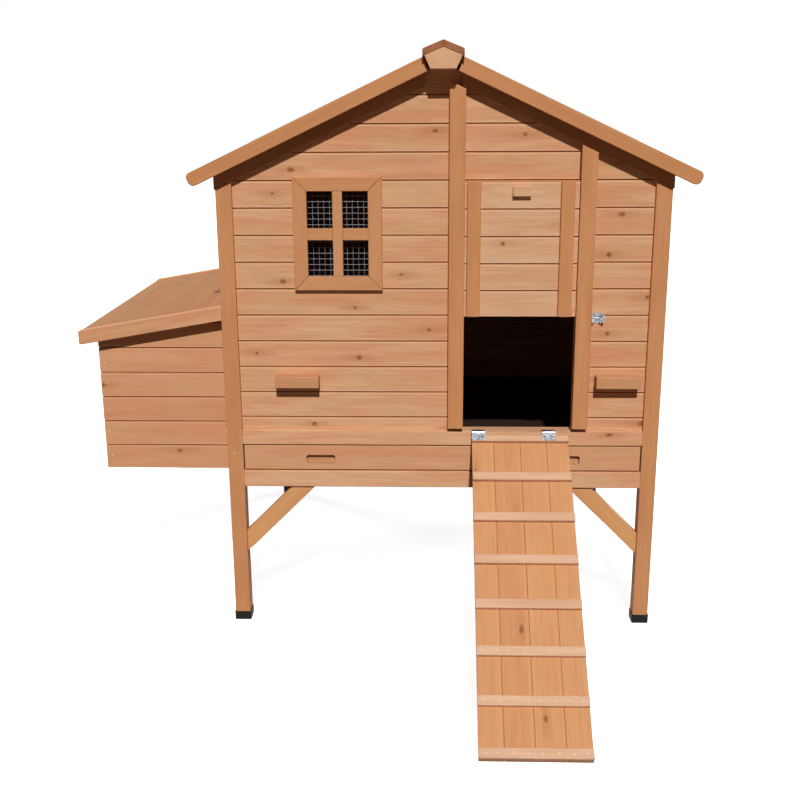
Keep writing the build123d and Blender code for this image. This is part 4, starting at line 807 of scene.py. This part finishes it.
# A row of nails through each of the ramp's three lowest cleats, by hand and so not quite in line
cleat_nails = []
for cleat in NAILED_CLEATS:
    for i in range(NAILS_PER_CLEAT):
        x = CLEAT_NAIL_X + CLEAT_NAIL_STEP * i + stray(i + 3 * cleat)
        middle = CLEAT_FIRST + CLEAT_STEP * cleat - CLEAT_WIDTH / 2
        down = middle + stray(i + cleat) * CLEAT_STRAY_ACROSS
        cleat_nails.append((on_ramp(x, down, CLEAT_FACE), OFF_RAMP))
fasten("cleat_nails", "ramp", nail, nail_zinc, CLEAT_NAIL_R, 1, cleat_nails)

# One nail in the left post, and nails at the nest boards' ends
house_nails = [(at(*POST_NAIL), FORWARD)]
for course in range(NEST_COURSES):
    z = nest_start + BOARD_COVER * course + NEST_NAIL_RISE + NEST_STRAY_ACROSS * stray(course + 2)
    for x in NEST_NAIL_X:
        house_nails.append((at(x + stray(course), NEST_FACE_Y, z), FORWARD))
fasten("house_nails", "house", nail, nail_zinc, BOARD_NAIL_R, 2, house_nails)

# Screws in the bolt's plate and in the hinges' leaves
bolt_x, bolt_z = BOLT_PLATE_CENTRE
bolt_screws = [(at(bolt_x + x, BOLT_PLATE_FACE_Y, bolt_z + z), FORWARD)
               for x in BOLT_SCREW_X for z in BOLT_SCREW_Z]
fasten("bolt_screws", "house", screw, steel, BOLT_SCREW_R, 3, bolt_screws)
sill_y = RAMP_PIN[0] + SCREW_FROM_PIN
sill_z = RAMP_PIN[1] + LEAF_FACE
wall_x = LID_PIN[0] + WALL_LEAF_FACE
wall_z = LID_PIN[1] + SCREW_FROM_PIN
ramp_rows = [x + off for x in RAMP_HINGES for off in RAMP_LEAF_SCREWS]
lid_rows = [y + off for y in LID_HINGES for off in LID_LEAF_SCREWS]
house_screws = [(at(x, sill_y, sill_z), UP) for x in ramp_rows]
house_screws += [(at(wall_x, y, wall_z), LEFTWARD) for y in lid_rows]
fasten("hinge_screws_house", "house", screw, steel, HINGE_SCREW_R, 4, house_screws)
ramp_screws = [(on_ramp(x, SCREW_FROM_PIN, LEAF_FACE), OFF_RAMP) for x in ramp_rows]
fasten("hinge_screws_ramp", "ramp", screw, steel, HINGE_SCREW_R, 5, ramp_screws)
lid_screws = [(on_lid(y, SCREW_FROM_PIN, LEAF_FACE), OFF_LID) for y in lid_rows]
fasten("hinge_screws_lid", "nest_lid", screw, steel, HINGE_SCREW_R, 6, lid_screws)
for head in (nail, screw):
    bpy.data.objects.remove(head)

# The window's welded wire
mesh_low, mesh_high = [Vector(corner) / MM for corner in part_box("window_mesh")]
columns = round((mesh_high.x - mesh_low.x) / MESH_PITCH)
rows = round((mesh_high.z - mesh_low.z) / MESH_PITCH)
corner = (mesh_low + mesh_high) / 2 - Vector((columns, 0, rows)) * MESH_PITCH / 2
wires = make("window_wires", bpy.data.meshes.new("window_wires"), welded_wire_tree(), {
    "Corner": corner * MM, "Pitch": MESH_PITCH * MM, "Wire": MESH_WIRE * MM, "Columns": columns, "Rows": rows,
    "Metal": weathered_zinc("weathered_zinc_wire", "#96969c", "#c4c4ca"),
})
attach(wires, "house")
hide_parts("window_mesh")


def seen_straight(tree):
    """1 where something is seen itself, mirrored or through glass, and 0 where it only lights others."""
    path = add(tree, "ShaderNodeLightPath").outputs
    seen = add(tree, MATH, {0: path["Is Camera Ray"], 1: path["Is Glossy Ray"]}, operation="MAXIMUM")
    return add(tree, MATH, {0: seen, 1: path["Is Transmission Ray"]}, operation="MAXIMUM")


def white_floor():
    """Ground that shows white with the object's shadow on it, and throws back light as brown earth does."""
    bpy.ops.mesh.primitive_plane_add(size=FLOOR_SIZE, location=(0, 0, 0))
    floor = bpy.context.object
    floor.name = "floor"
    material, tree, shader = new_material("pale_floor")
    shader.inputs["Base Color"].default_value = linear("#665446")
    shader.inputs["Roughness"].default_value = 0.9
    shader.inputs["Specular IOR Level"].default_value = 0.0
    paper = add(tree, "ShaderNodeBsdfDiffuse", {"Color": linear("#f2f2f2")})
    glow = add(tree, "ShaderNodeEmission", {"Strength": FLOOR_GLOW})
    lit = add(tree, "ShaderNodeAddShader", {0: paper, 1: glow})
    blend = add(tree, "ShaderNodeMixShader", {0: seen_straight(tree), 1: shader, 2: lit})
    tree.links.new(blend.outputs[0], tree.nodes["Material Output"].inputs["Surface"])
    floor.data.materials.append(material)


def white_sky():
    """A sky that shows white behind the object, and lights it dimly and warmly."""
    world = bpy.data.worlds.new("studio_sky")
    world.use_nodes = True
    bpy.context.scene.world = world
    sky = world.node_tree
    dim = add(sky, "ShaderNodeBackground", {"Color": linear("#ffe9d2"), "Strength": SKY_STRENGTH})
    white = add(sky, "ShaderNodeBackground", {"Color": linear("#ffffff"), "Strength": 1.0})
    both = add(sky, "ShaderNodeMixShader", {0: seen_straight(sky), 1: dim, 2: white})
    sky.links.new(both.outputs[0], sky.nodes["World Output"].inputs["Surface"])


def lamp(name, way, strength, angle):
    """A sun that shines along a way, as soft as its angle in degrees."""
    sun = bpy.data.objects.new(name, bpy.data.lights.new(name, "SUN"))
    sun.data.energy = strength
    sun.data.angle = radians(angle)
    sun.rotation_euler = Vector(way).to_track_quat("-Z", "Y").to_euler()
    bpy.context.collection.objects.link(sun)


def camera():
    """The photograph's view, with colours shown as they are."""
    eye = bpy.data.objects.new("camera", bpy.data.cameras.new("camera"))
    eye.data.lens = CAMERA_LENS
    yaw = Matrix.Rotation(radians(CAMERA_YAW), 4, "Z")
    down = Matrix.Rotation(radians(90 - CAMERA_DOWN), 4, "X")
    roll = Matrix.Rotation(radians(CAMERA_ROLL), 4, "Z")
    eye.matrix_world = Matrix.Translation(at(*CAMERA_FROM_HOUSE)) @ yaw @ down @ roll
    bpy.context.collection.objects.link(eye)
    bpy.context.scene.camera = eye
    bpy.context.scene.view_settings.view_transform = "Standard"


white_floor()
white_sky()
camera()
lamp("front_sun", SUN_WAY, SUN_STRENGTH, SUN_ANGLE)
for name, way in FILL_WAYS.items():
    lamp(name, way, FILL_STRENGTH, FILL_ANGLE)
